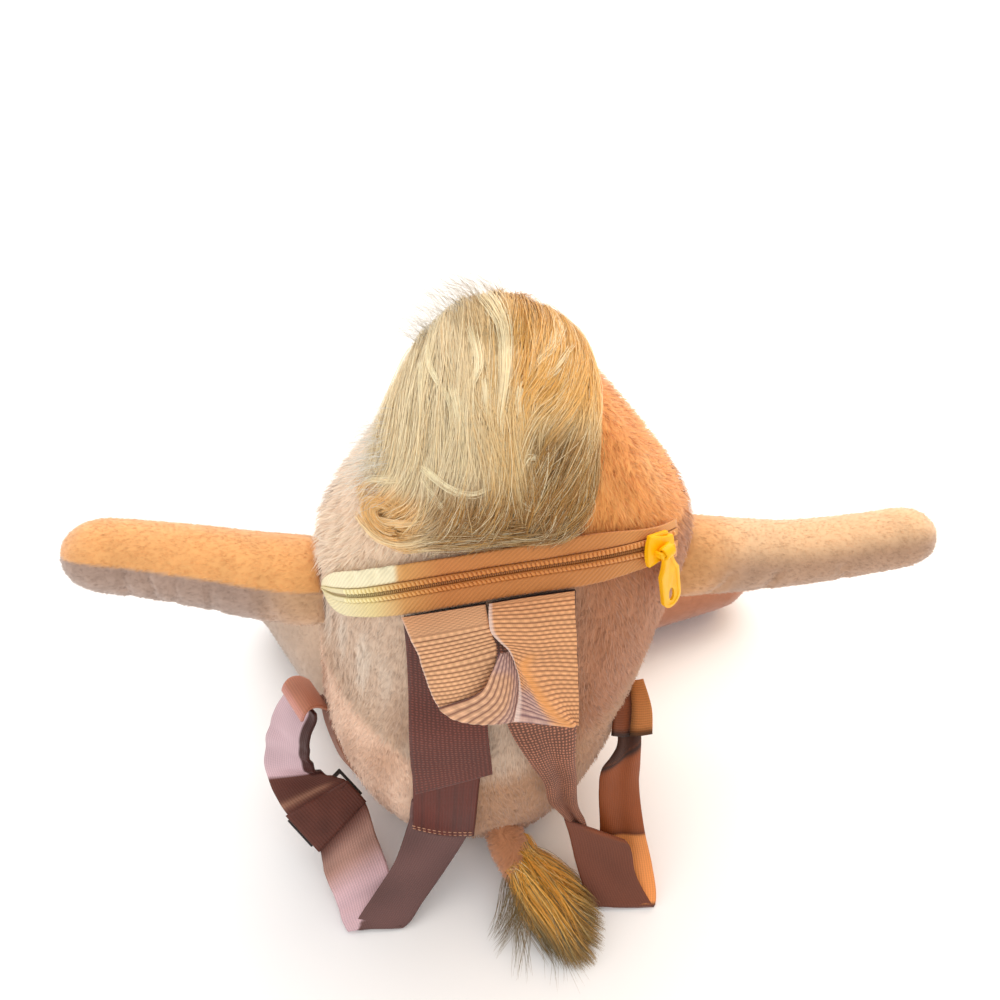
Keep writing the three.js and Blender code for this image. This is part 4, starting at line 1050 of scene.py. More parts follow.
# ridges painted lit over grooves painted in shade, greyer with painted shade where the loop turns in, with a
# pale selvedge and a lit crease
def loopTone(fineEnd, part):
    def tone(p, across, along):
        ribbed = ramp(fineEnd - 1, fineEnd + 1, along)
        rib = np.clip(ribWave(along) * (0.86 + 0.16 * yarnTwist(across, along)), 0, 1) * ribbed
        rib = rib + (1 - ribbed) * (0.6 + 0.25 * np.sin(across * 5.1) * np.sin(along * 5.3))
        lit = strapTones["ridgeRight" if part == "front" else "ridge"]
        ridge = blendTone(even(strapTones["groove"], p), lit, rib)
        grey = blendTone(even(strapTones["mauveGroove"], p), strapTones["mauve"], rib)
        if part == "front":
            made = blendTone(ridge, grey, ramp(38, 46, along + 0.5 * across) * ramp(-7, -11, across))
            made = layered(made, strapTones, [("crease", 0.8 * creaseAt(across, along)),
                                              ("selvedge", ramp(-17.6, -18.3, across))])
        elif part == "fan":
            turnedIn = 0.25 + ramp(3, 12, across) + 0.6 * ramp(9, 15, along)
            made = blendTone(ridge, grey, np.clip(turnedIn, 0, 1))
        else:
            made = blendTone(ridge, strapTones["selvedge"], 0.7 * ramp(-18, -18.5, across))
        return uneven(made, p, 0.05, 12, 9)
    return tone


def loopPart(name, rows, part, fineEnd, soft=None, **changes):
    return webStrip(name, rows, {**loop, **changes}, loopTone(fineEnd, part), ribRelief(fineEnd, soft))


panelRuns = [0] + [rib[4] * loop["ribPitch"] for rib in loop["panelRibs"]]
fanRuns = [k * loop["fanPitch"] * loop["ribPitch"] for k in range(len(loop["fanRibs"]))]
loopPanel = loopPart("loop_panel", [leftSeam] + panelRows(), "panel", 8.4, runs=panelRuns, wave=0.2)
loopFan = loopPart("loop_fan", fanRows(), "fan", -2, runs=fanRuns, wave=0.15)
loopFront = loopPart("loop_front", [rightSeam] + frontRows(0.4), "front", 2, creaseAt, gauge=-1, wave=0.2)
grabLoop = joined("grab_loop_web", [loopPanel, loopFan, loopFront])
finishPiece(grabLoop, loopWebbing, ["grab_loop"])
print("grab loop woven")


# zipper: twill tapes either side of two coiled rows

zipper.update({"chainHalf": 5.2, "tapeUp": 11.5, "tapeDown": 12.8, "thick": 1.1, "lift": 0.7,
               "rowAt": 2.3, "rowHeight": 2.45, "pitch": 2.05, "reach": 5, "rounded": 13,
               "turn": (0.88, 1.45, 0.95), "meeting": (0.42, 0.62, 0.5), "meetingHeight": 1.7,
               "tuck": 1.2, "closeUp": 0.62, "closeDown": 0.55})
# darker from the pale left end towards the middle: partly the tape's own tone, partly painted shade
tapeStops = [(-62, "#ecdfae"), (-46, "#e6cf8e"), (-30, "#d69a52"), (-12, "#c77c3a"), (60, "#c97f3c"),
             (96, "#dc9a58")]  # x and tone


def zipTone(p):
    places = [x for x, _ in tapeStops]
    tones = np.array([linear(tone) for _, tone in tapeStops])
    return np.stack([np.interp(p[:, 0], places, tones[:, c]) for c in range(3)], -1)


def zipShade(share):
    return lambda p, across, along: zipTone(p) * share


# the loose left end of the upper tape is paler
def upperTapeTone(p, across, along):
    return blendTone(zipTone(p), linear("#f6ebc4"), ramp(-32, -35, p[:, 0]))


# rows across the zipper between two heights; the left end draws in to a rounded point
def zipRows(low, high, lift, narrow=0):
    s = np.linspace(0, 1, 30)
    first = zipper["left"] - zipper["reach"]
    x = first + (zipper["right"] - first) * (1 - np.cos(math.pi * s)) / 2
    inward = np.clip((x - first) / zipper["rounded"], 0.004, 1)
    drawn = np.sqrt(inward * (2 - inward))
    kept = (high - low) * (1 - narrow * ramp(50, 96, x))  # the fur closes over the right end
    rows = []
    for at, share, wide in zip(x, drawn, kept):
        ends = (low, low + wide) if high > 0 else (high - wide, high)
        rows.append(onBack(at, zipHeight(at) + np.linspace(*ends, 5) * share, lift))
    return rows


# the loose left end of the upper tape lies in small folds
def crumpled(grid, columns, along):
    x = grid[..., 0]
    fold = np.sin(x * 0.62 + columns[None] * 1.6) + 0.6 * np.sin(x * 1.15 - columns[None] * 2.4)
    high = 0.75 * fold * ramp(-26, -36, x) * ramp(-70, -62, x) * ramp(0.1, 0.7, columns)[None]
    return grid + bodyNormal(grid) * high[..., None]


# polyester twill tape: diagonal ridges with a satin shine, drawn 1.7 mm apart, coarser than real, to show
twill, tree, shader = newMaterial("polyesterTwillTape", {"Roughness": 0.55, "Sheen Weight": 0.2,
                                                        "Specular IOR Level": 0.4})
uv = addNode(tree, "ShaderNodeUVMap", {"uv_map": "cloth"})
turned = addNode(tree, "ShaderNodeMapping", None, {"Rotation": (0, 0, math.radians(38))},
                 {"Vector": uv.outputs["UV"]})
ridge = addNode(tree, "ShaderNodeTexWave", None,
                {"Scale": waveScale(1.7), "Distortion": 0.5, "Detail": 1.0},
                {"Vector": turned.outputs["Vector"]})
paintedBase(tree, shader, ridge.outputs["Fac"], {"To Min": 0.9, "To Max": 1.05})
bump = addNode(tree, "ShaderNodeBump", None, {"Strength": 0.5, "Distance": 0.0003},
               {"Height": ridge.outputs["Fac"]})
tree.links.new(bump.outputs["Normal"], shader.inputs["Normal"])

tapeSpec = {"step": 1.6, "across": 9, "thick": zipper["thick"], "width": 7, "wave": 0.25, "waveSize": 9}
mid = zipper["lift"] + zipper["thick"] / 2
inner = zipper["chainHalf"] - zipper["tuck"]
tapeUpper = webStrip("tape_upper", zipRows(inner, zipper["tapeUp"], mid, zipper["closeUp"]),
                     {**tapeSpec, "seed": 31, "shape": crumpled}, upperTapeTone)
tapeLower = webStrip("tape_lower", zipRows(-zipper["tapeDown"], -inner, mid, zipper["closeDown"]),
                     {**tapeSpec, "seed": 32}, zipShade(0.97))
finishPiece(tapeUpper, twill, ["zipper_tape_upper"])
finishPiece(tapeLower, twill, ["zipper_tape_lower"])

# moulded nylon coil: smooth, slightly waxy turns
nylon, tree, shader = newMaterial("nylonCoil", {"Roughness": 0.38, "Specular IOR Level": 0.5})
where = addNode(tree, "ShaderNodeTexCoord")
haze = addNode(tree, "ShaderNodeTexNoise", None, {"Scale": 500.0}, {"Vector": where.outputs["Object"]})
paintedBase(tree, shader, haze.outputs["Fac"], {"To Min": 0.88, "To Max": 1.06})


def bead():
    pick(None)
    bpy.ops.mesh.primitive_uv_sphere_add(segments=8, ring_count=6, radius=1)
    return bpy.context.object


coilTurn = bead()
bpy.ops.object.mode_set(mode="EDIT")
bpy.ops.transform.resize(value=zipper["turn"])
bpy.ops.object.mode_set(mode="OBJECT")


# one modelled part set at many places: x, y and z axes and a middle for each, in mm
def placeCopies(name, model, places, axes, tone):
    base = pointsOf(model)
    corners = [list(poly.vertices) for poly in model.data.polygons]
    threes = [c for c in corners if len(c) == 3]
    fours = [half for c in corners if len(c) == 4 for half in (c[:3], [c[0], c[2], c[3]])]
    flat = np.array(threes + fours)
    points = np.einsum("vk,nkd->nvd", base, axes) + places[:, None]
    every = (flat[None] + np.arange(len(places))[:, None, None] * len(base)).reshape(-1, 3)
    return newMesh(name, points.reshape(-1, 3) * mm, every, np.repeat(tone, len(base), 0))


def chainRow(offset, slant, pitch, size, height):
    x = np.arange(zipper["left"] + zipper["rounded"] - 3, zipper["right"] - 2, pitch * 0.96)
    at = onBack(x, zipHeight(x) + offset, height)
    along = unit(np.gradient(at, axis=0))
    out = bodyNormal(at)
    across = unit(np.cross(out, along))
    turned = unit(across + along * slant)
    return at, np.stack([unit(np.cross(turned, out)), turned, out], 1) * np.array(size)[None, :, None]


full = (1, 1, 1)
rows = [chainRow(zipper["rowAt"], -0.3, zipper["pitch"], full, zipper["rowHeight"]),
        chainRow(-zipper["rowAt"], -0.75, zipper["pitch"], full, zipper["rowHeight"]),
        chainRow(0, 0.2, zipper["pitch"] / 2, zipper["meeting"], zipper["meetingHeight"])]
coilPlaces, coilAxes = (np.concatenate([r[k] for r in rows]) for k in range(2))
# the coil turns are paler than the tape, as painted highlight
coilTone = np.minimum(zipTone(coilPlaces) * (1.2, 1.25, 1.3), 1)
coilTone[-len(rows[2][0]):] *= 0.6  # painted shade where the two rows meet
coil = placeCopies("zipper_coil_turns", coilTurn, coilPlaces, coilAxes, coilTone)
bpy.data.objects.remove(coilTurn)
cord = {**tapeSpec, "thick": 1.3, "width": 2.5, "across": 7, "wave": 0}
cords = [webStrip("zipper_cord", zipRows(low, high, 1.75), cord, zipShade(0.92))
         for low, high in ((1.1, 3.5), (-3.5, -1.1))]
# the bed under the coil is painted in shade
bed = webStrip("zipper_coil_bed", zipRows(-zipper["chainHalf"], zipper["chainHalf"], 1.0),
               {**tapeSpec, "thick": 0.9, "width": 10.4, "wave": 0}, zipShade((0.5, 0.42, 0.36)))
coil = joined("zipper_coil", [coil, bed] + cords)
finishPiece(coil, nylon, ["zipper_chain"])
print("zipper set")


# stitches across the lower end of the middle strap

stitch = {"x": -21.5, "half": 16, "gap": 2.9, "heights": (47.5, 51.5), "lift": 4.8,
          "size": (1.15, 0.4, 0.34), "tone": linear("#dba483")}
stitchModel = bead()
x = np.arange(-stitch["half"], stitch["half"] + 0.1, stitch["gap"]) + stitch["x"]
sewn = []
for z in stitch["heights"]:
    at = onBack(x, z + 0 * x, stitch["lift"])
    run, out = unit(np.gradient(at, axis=0)), bodyNormal(at)
    axes = np.stack([run, unit(np.cross(out, run)), out], 1) * np.array(stitch["size"])[None, :, None]
    sewn.append((at, axes))
places, axes = (np.concatenate([r[k] for r in sewn]) for k in range(2))
stitches = placeCopies("strap_stitches", stitchModel, places, axes, even(stitch["tone"], places))
bpy.data.objects.remove(stitchModel)
finishPiece(stitches, strapWebbing)


# slider and pull, in a frame with x along the chain, z across it and -y outward

slider = {"x": 86, "turn": 30, "drop": 12, "lean": -20, "clear": 4.3,
          "plate": (14, 2.2, 15.5), "taper": 0.3, "pinch": 0.06, "bow": 1.8, "crown": 0.5,
          "flange": (12, 2.4, 1.6), "flangeAt": 6.4, "post": (1.9, 5.6, 3.2), "postAt": 3.7, "postRise": 2.3,
          "bar": (1.5, 9.2), "barRise": 3.8, "swing": 20, "hang": 10}
pull = {"width": 12, "length": 36, "thick": 2.4, "neck": 5.2, "waist": 13, "rim": 1.5, "recess": 0.55,
        "hole": (3.8, 8.5), "holeEdge": 3.6, "eye": 3.2, "bore": 1.9, "eyeLength": 5.4}


def turnBy(degrees, axis):
    return Matrix.Rotation(math.radians(degrees), 4, axis)


sliderPlace = (Matrix.Translation(Vector(onBack(slider["x"], zipHeight(slider["x"]), 0)))
               @ turnBy(slider["turn"], "Z") @ turnBy(slider["drop"], "Y") @ turnBy(slider["lean"], "X"))
plateTop = -(slider["clear"] + slider["plate"][1])
barY = plateTop - slider["barRise"]
pullPlace = (sliderPlace @ Matrix.Translation((0, barY, 0)) @ turnBy(-slider["swing"], "Y")
             @ turnBy(slider["hang"], "X"))


def block(size, at, bevel=0.3):
    pick(None)
    bpy.ops.mesh.primitive_cube_add(size=1)
    obj = bpy.context.object
    bpy.ops.object.mode_set(mode="EDIT")
    bpy.ops.transform.resize(value=size)
    bpy.ops.transform.translate(value=at)
    bpy.ops.object.mode_set(mode="OBJECT")
    if bevel:
        applied(obj, "BEVEL", width=bevel, segments=2)
    return obj


def rod(radius, length, at, sides=24):
    pick(None)
    bpy.ops.mesh.primitive_cylinder_add(vertices=sides, radius=radius, depth=length)
    obj = bpy.context.object
    points = pointsOf(obj)[:, [2, 1, 0]] * (1, -1, 1)  # laid along x
    setPoints(obj, points + np.array(at))
    return obj


def cut(obj, cutter):
    applied(obj, "BOOLEAN", object=cutter, operation="DIFFERENCE", solver="EXACT")
    bpy.data.objects.remove(cutter)


def settle(obj, place):
    points = pointsOf(obj)
    turned = np.array(place)[:3, :3]
    setPoints(obj, (points @ turned.T + np.array(place)[:3, 3]) * mm)


# moulded acetal: bright yellow, even, with a soft gloss and faint flow marks
acetal, tree, shader = newMaterial("yellowAcetal", {
    "Roughness": 0.36, "Specular IOR Level": 0.35, "IOR": 1.48, "Subsurface Weight": 0.12,
    "Subsurface Radius": (0.004, 0.002, 0.0005), "Subsurface Scale": 0.3})
where = addNode(tree, "ShaderNodeTexCoord")
flow = addNode(tree, "ShaderNodeTexNoise", None, {"Scale": 140.0}, {"Vector": where.outputs["Object"]})
shade = addNode(tree, "ShaderNodeMix", {"data_type": "RGBA"},
                {6: (*linear("#fdae00"), 1), 7: (*linear("#ffcc0a"), 1)}, {0: flow.outputs["Fac"]})
tree.links.new(shade.outputs[2], shader.inputs["Base Color"])
grain = addNode(tree, "ShaderNodeTexNoise", None, {"Scale": 1800.0}, {"Vector": where.outputs["Object"]})
bump = addNode(tree, "ShaderNodeBump", None, {"Strength": 0.12, "Distance": 0.0002},
               {"Height": grain.outputs["Fac"]})
tree.links.new(bump.outputs["Normal"], shader.inputs["Normal"])

long, thick, wide = slider["plate"]
plate = block((long, thick, wide), (0, plateTop + thick / 2, 0), 0)
editAll(plate)
bpy.ops.mesh.subdivide(number_cuts=5)
bpy.ops.object.mode_set(mode="OBJECT")
points = pointsOf(plate)
waist = 1 - slider["taper"] * ramp(-long / 2, long / 2, points[:, 0])
points[:, 2] *= waist - slider["pinch"] * (1 - (2 * points[:, 0] / long) ** 2)
atEnd = np.abs(points[:, 0]) > long / 2 - 0.1
points[:, 0] += np.sign(points[:, 0]) * slider["bow"] * (1 - (2 * points[:, 2] / wide) ** 2) * atEnd
upperFace = points[:, 1] < plateTop + thick / 2
points[:, 1] -= slider["crown"] * np.cos(points[:, 2] / wide * math.pi) * upperFace
setPoints(plate, points)
applied(plate, "BEVEL", width=0.45, segments=3, limit_method="ANGLE", angle_limit=math.radians(40))
flanges = [block(slider["flange"], (0, -(slider["clear"] - 0.2), s * slider["flangeAt"]), 0.35)
           for s in (-1, 1)]
posts = [block(slider["post"], (s * slider["postAt"], plateTop - slider["postRise"], 0), 0.5)
         for s in (-1, 1)]
bar = rod(*slider["bar"], (0, barY, 0))
applied(bar, "BEVEL", width=0.5, segments=3, limit_method="ANGLE")
bridge = joined("bridge", posts + [bar])
swing = np.array(Matrix.Rotation(math.radians(-slider["swing"]), 3, "Y"))
setPoints(bridge, pointsOf(bridge) @ swing.T)
sliderPiece = joined("zipper_slider_moulded", [plate, bridge] + flanges)
settle(sliderPiece, sliderPlace)
pick(sliderPiece)
bpy.ops.object.shade_smooth_by_angle(angle=math.radians(40))
finishPiece(sliderPiece, acetal, ["zipper_slider"])

half, neck, end = pull["width"] / 2, pull["neck"] / 2, -pull["length"] + pull["width"] / 2
curve = np.linspace(0, 1, 7)[:, None]
flare = ((1 - curve) ** 2 * (neck, -2) + 2 * curve * (1 - curve) * (neck, -pull["waist"] / 2)
         + curve ** 2 * (half, -pull["waist"]))
sweep = np.linspace(0, -math.pi, 17)[1:-1]
roundEnd = np.stack([half * np.cos(sweep), end + half * np.sin(sweep)], -1)
outline = np.concatenate([flare, [(half, end)], roundEnd, [(-half, end)], (flare * (-1, 1))[::-1]])
mesh = bpy.data.meshes.new("pull_face")
mesh.from_pydata([(x, pull["thick"] / 2, z) for x, z in outline], [], [list(range(len(outline)))])
pullPiece = bpy.data.objects.new("pull_face", mesh)
bpy.context.collection.objects.link(pullPiece)
editAll(pullPiece)
bpy.ops.mesh.extrude_region_move(TRANSFORM_OT_translate={"value": (0, -pull["thick"], 0)})
bpy.ops.mesh.select_all(action="SELECT")
bpy.ops.mesh.normals_make_consistent(inside=False)
for facing in (-1, 1):  # a raised rim round a shallow recess on both faces
    bpy.ops.mesh.select_all(action="DESELECT")
    bpy.ops.object.mode_set(mode="OBJECT")
    face = max(pullPiece.data.polygons, key=lambda f: f.area * (f.normal.y * facing > 0.9))
    face.select = True
    bpy.ops.object.mode_set(mode="EDIT")
    bpy.ops.mesh.select_mode(type="FACE")
    bpy.ops.mesh.inset(thickness=pull["rim"], depth=0)
    bpy.ops.mesh.inset(thickness=0.35, depth=-pull["recess"])
bpy.ops.object.mode_set(mode="OBJECT")
holeCutter = rod(1, 20, (0, 0, 0), 32)
points = pointsOf(holeCutter)
holeZ = -pull["length"] + pull["holeEdge"] + pull["hole"][1] / 2
setPoints(holeCutter, np.stack([points[:, 2] * pull["hole"][0] / 2, points[:, 0],
                                points[:, 1] * pull["hole"][1] / 2 + holeZ], -1))
editAll(holeCutter)
bpy.ops.mesh.normals_make_consistent(inside=False)
bpy.ops.object.mode_set(mode="OBJECT")
cut(pullPiece, holeCutter)
barrel = rod(pull["eye"], pull["eyeLength"], (0, 0, 0), 32)
cut(barrel, rod(pull["bore"], 20, (0, 0, 0), 32))
for part in (pullPiece, barrel):
    applied(part, "BEVEL", width=0.25, segments=2, limit_method="ANGLE", angle_limit=math.radians(35))
pullPiece = joined("zipper_pull_moulded", [pullPiece, barrel])
settle(pullPiece, pullPlace)
pick(pullPiece)
bpy.ops.object.shade_smooth_by_angle(angle=math.radians(40))
finishPiece(pullPiece, acetal, ["zipper_pull"], body="pull")
print("slider and pull moulded")


# adjuster, nose and eyes

# moulded black ABS: satin, with fine mould grain
blackAbs, tree, shader = newMaterial("blackAbs", {"Roughness": 0.42, "Specular IOR Level": 0.5})
where = addNode(tree, "ShaderNodeTexCoord")
grain = addNode(tree, "ShaderNodeTexNoise", None, {"Scale": 900.0}, {"Vector": where.outputs["Object"]})
shade = addNode(tree, "ShaderNodeMix", {"data_type": "RGBA"},
                {6: (*linear("#15110f"), 1), 7: (*linear("#2a2320"), 1)}, {0: grain.outputs["Fac"]})
tree.links.new(shade.outputs[2], shader.inputs["Base Color"])
bump = addNode(tree, "ShaderNodeBump", None, {"Strength": 0.15, "Distance": 0.0002},
               {"Height": grain.outputs["Fac"]})
tree.links.new(bump.outputs["Normal"], shader.inputs["Normal"])

adjusterPiece = copyOf("adjuster_moulded", ["strap_adjuster"])
editAll(adjusterPiece)
bpy.ops.mesh.dissolve_limited(angle_limit=math.radians(1))
bpy.ops.object.mode_set(mode="OBJECT")
applied(adjusterPiece, "BEVEL", width=0.5 * mm, segments=3, limit_method="ANGLE",
        angle_limit=math.radians(30))
bpy.ops.object.shade_smooth_by_angle(angle=math.radians(40))
finishPiece(adjusterPiece, blackAbs, ["strap_adjuster"])

for name, voxel in (("nose", 0.9), ("eye_left", 0.7), ("eye_right", 0.7)):
    piece = copyOf(name + "_moulded", [name])
    applied(piece, "REMESH", mode="VOXEL", voxel_size=voxel * mm)
    applied(piece, "SMOOTH", factor=0.5, iterations=8)
    bpy.ops.object.shade_smooth()
    finishPiece(piece, blackAbs, [name])
print("small mouldings done")


# hair: flat strands, two points at each station, toned from root to tip

def strandPiece(name, paths, widths, normals, tones):
    count, stations = paths.shape[:2]
    along = unit(np.gradient(paths, axis=1))
    side = unit(np.cross(normals, along)) * (widths / 2)[..., None]
    points = np.stack([paths - side, paths + side], 2).reshape(-1, 3)
    rounded = 0.35 * unit(side)
    shading = np.stack([unit(normals - rounded), unit(normals + rounded)], 2).reshape(-1, 3)
    index = np.arange(count * stations * 2).reshape(count, stations, 2)
    corners = [index[:, :-1, 0], index[:, 1:, 0], index[:, 1:, 1], index[:, :-1, 1]]
    faces = np.stack(corners, -1).reshape(-1, 4)
    return newMesh(name, points * mm, faces, np.repeat(tones, 2, 1).reshape(-1, 3), None, shading)


# modacrylic hair: long smooth fibres with a silky streak of light
modacrylic, tree, shader = newMaterial("modacrylicHair", {"Roughness": 0.42, "Specular IOR Level": 0.45,
                                                         "Sheen Weight": 0.1})
where = addNode(tree, "ShaderNodeTexCoord")
fleck = addNode(tree, "ShaderNodeTexNoise", None, {"Scale": 400.0}, {"Vector": where.outputs["Object"]})
paintedBase(tree, shader, fleck.outputs["Fac"], {"To Min": 0.85, "To Max": 1.12})


mane = {
    "strands": 22000, "band": 1300, "curl": 900, "stations": 9, "width": 0.2, "clumps": 700,
    # lines that the hair is combed along, each from the crown down: degrees to the right, degrees up
    "combed": [
        [(-34, 128), (-46, 104), (-57, 83), (-62, 46), (-64, 14), (-66, -1)],
        [(-23, 129), (-29, 98), (-40, 70), (-46, 35), (-51, 13), (-59, -3)],
        [(-17, 130), (-19, 92), (-23, 60), (-29, 34), (-35, 12), (-44, -4)],
        [(-12, 131), (-12, 90), (-15, 60), (-15, 34), (-19, 14), (-30, -2)],
        [(-5, 131), (-5, 95), (-5, 64), (-5, 45), (-3, 19), (-10, 2)],
        [(11, 130), (16, 92), (10, 68), (3, 57), (1, 35), (0, 5)],
        [(18, 128), (25, 88), (20, 62), (9, 47), (5, 30), (3, 5)],
        [(24, 124), (32, 84), (29, 50), (20, 28), (13, 15), (7, 3)],
        [(29, 112), (34, 76), (32, 39), (29, 18), (25, 8), (17, 2)]],
    # the lower edge, combed from right to left
    "lower": [[(31, 14), (16, 12), (0, 12), (-14, 11), (-30, 8), (-44, 5), (-56, 4)],
              [(29, 8), (14, 6), (-2, 6), (-15, 5), (-31, 2), (-44, -4), (-56, -4)],
              [(26, 2), (14, 1), (-2, 0), (-15, -2), (-31, -4), (-41, -8), (-53, -10)]],
    "curlAt": (-51, 3), "curlSize": (3, 10.5),
    # bright locks: path, strands, spread in degrees, height
    "locks": [
        ([(-6, 102), (-2, 83), (-3, 66), (-6, 47), (-2, 30), (-1, 19)], 190, 1.1, 8.5),
        ([(-12, 86), (-11, 72), (-15, 63), (-15, 53), (-12, 42)], 170, 0.8, 8),
        ([(-28, 90), (-28, 76), (-23, 59), (-25, 43)], 150, 0.8, 8),
        ([(-32, 84), (-35, 64), (-34, 54), (-31, 42)], 150, 0.8, 7.8),
        ([(2, 64), (1, 56), (2, 46), (-2, 38)], 150, 0.7, 8),
        ([(18, 95), (14, 80), (8, 72), (4, 62)], 120, 0.9, 7.6),
        ([(22, 84), (15, 71), (10, 65), (5, 58)], 110, 0.8, 7.8),
        ([(-36, 32), (-26, 24), (-17, 22), (-9, 24), (-2, 15)], 170, 0.9, 8.4),
        ([(-37, 27), (-30, 17), (-24, 10), (-15, 3)], 90, 0.8, 8),
        ([(2, 19), (7, 15), (14, 14), (23, 15)], 110, 0.9, 7.6),
        ([(2, 32), (5, 36), (10, 34), (15, 27)], 60, 1.3, 8),
        ([(-64, 4), (-61, 18), (-49, 24), (-42, 21)], 160, 1.2, 8.4),
        ([(-61, -8), (-50, -9), (-39, -5), (-27, 6)], 170, 1.1, 8.2),
        ([(-53, -2), (-45, 2), (-38, 6), (-29, 11)], 140, 1.0, 8.2),
        ([(-38, 98), (-42, 76), (-44, 60), (-45, 44)], 120, 1.0, 7.4),
        ([(-20, 64), (-20, 52), (-21, 39), (-16, 31)], 150, 0.7, 7.8),
        ([(33, 72), (33, 58), (32, 45), (32, 30)], 120, 0.9, 7),
        ([(-10, 66), (-10, 56), (-10, 48), (-7, 40)], 130, 0.7, 8)],
    "wisps": 1100,
}
maneTones = tonesOf(
    beige="#eedcb4", mid="#e6c387", cream="#fdf0c8", light="#f2dca6", olive="#ae8d55", brown="#80592a",
    gold="#eab04f", curl="#eeae50", low="#a06d2a", grey="#efeadd")


# a point (line, share along it) in a fan of combed lines
def fanned(lines, line, share):
    lines = np.array(lines, float)
    count, steps = lines.shape[:2]
    across, along = 160, 80  # steps of a finer table
    table = smoothThrough(np.arange(steps), np.moveaxis(lines, 1, 0), np.linspace(0, steps - 1, along + 1))
    table = smoothThrough(np.arange(count), np.moveaxis(table, 1, 0), np.linspace(0, count - 1, across + 1))
    a = np.clip(line / (count - 1), 0, 1) * across
    b = np.clip(share, 0, 1) * along
    i, j = np.minimum(a.astype(int), across - 1), np.minimum(b.astype(int), along - 1)
    u, v = (a - i)[..., None], (b - j)[..., None]
    return ((table[i, j] * (1 - u) + table[i + 1, j] * u) * (1 - v)
            + (table[i, j + 1] * (1 - u) + table[i + 1, j + 1] * u) * v)


def maneLines():
    spec = mane
    s = np.linspace(0, 1, spec["stations"])[None]
    count, last = spec["strands"], len(spec["combed"]) - 1
    # combed strands, drawn part way towards the middle of their clump
    clumpLine, clumpStart = dice.uniform(0, last, spec["clumps"]), 0.7 * dice.random(spec["clumps"]) ** 1.1
    clumpHigh, clumpWave = dice.random(spec["clumps"]), dice.uniform(0, 6.28, spec["clumps"])
    line, start = dice.uniform(-0.15, last + 0.1, count), 0.74 * dice.random(count) ** 1.1 - 0.04
    near = np.argmin((line[:, None] - clumpLine) ** 2 * 9 + (start[:, None] - clumpStart) ** 2 * 16, 1)
    end = np.minimum(1.04, start + dice.uniform(0.38, 0.75, count))
    share = start[:, None] + (end - start)[:, None] * s
    stray = np.where(dice.random(count) < 0.12, dice.normal(0, 0.8, count), 0)
    drawn = line[:, None] + (clumpLine[near] - line)[:, None] * 0.4 * s ** 0.8 + stray[:, None] * s
    flat = fanned(spec["combed"], drawn, share) + dice.normal(0, 0.8, (count, 1, 2))
    flat = flat + dice.normal(0, 0.8, (count, 1, 2)) * s[..., None]
    wave = np.sin(s * (3 + 4 * clumpHigh[near])[:, None] + clumpWave[near][:, None])
    wave = wave * (0.6 + 1.5 * clumpHigh[near])[:, None]
    own = np.sin(s * dice.uniform(2, 7, count)[:, None] + dice.uniform(0, 6.28, count)[:, None])
    own = own * dice.uniform(0, 1.1, count)[:, None]
    flat = flat + np.stack([wave + own, 0.4 * wave], -1)
    flat[..., 0] += (dice.normal(0, 4, count) * ramp(1.3, 0, line))[:, None]  # ragged at the left
    flat[..., 1] += (dice.normal(0, 2.5, count) * ramp(0.86, 1, end))[:, None]  # and along the lower edge
    rise = (4.6 * clumpHigh[near] + dice.uniform(0, 2.0, count))[:, None]
    high = 2.4 + rise * np.sin(math.pi * (0.08 + 0.84 * s)) ** 0.7
    high = high * (1 - 0.45 * ramp(0.9, 1, share))
    groups = [(flat, high, clumpHigh[near])]
    # along the lower edge, to the left
    count = spec["band"]
    start = 0.72 * dice.random(count) ** 0.6
    share = start[:, None] + dice.uniform(0.16, 0.4, count)[:, None] * s
    line = dice.uniform(0, 2, count)
    drawn = line[:, None] + dice.normal(0, 0.5, count)[:, None] * s
    flat = fanned(spec["lower"], drawn, share) + dice.normal(0, 1.0, (count, 1, 2))
    flat[..., 1] += 1.2 * np.sin(share * 9 + np.round(line * 2)[:, None])
    high = 2.6 + dice.uniform(0.6, 4.4, count)[:, None] * np.sin(math.pi * (0.1 + 0.82 * s))
    groups.append((flat, high, dice.random(count)))
    # the curl at the left
    count = spec["curl"]
    size = dice.uniform(*spec["curlSize"], count)[:, None] * (1 - 0.25 * s)
    turn = np.radians(dice.uniform(-160, -40, count)[:, None] - dice.uniform(90, 170, count)[:, None] * s)
    flat = np.array(spec["curlAt"]) + np.stack([size * 1.15 * np.cos(turn), size * 1.1 * np.sin(turn)], -1)
    groups.append((flat, 4 + dice.uniform(0.5, 4.4, count)[:, None] + 0 * s, dice.random(count)))
    # bright locks on top
    for path, count, spread, height in spec["locks"]:
        share = dice.uniform(-0.05, 0.35, count)[:, None] + dice.uniform(0.5, 0.65, count)[:, None] * s
        flat = fanned([path, path], np.zeros(share.shape), share)
        offset = dice.normal(0, spread, (count, 1, 2)) * (1 - 0.55 * s)[..., None]
        high = height - dice.uniform(0, 2.4, count)[:, None] - 2.5 * s ** 3
        groups.append((flat + offset, high, np.full(count, 2.0 if path[0][0] > -45 else 1.6)))
    return groups


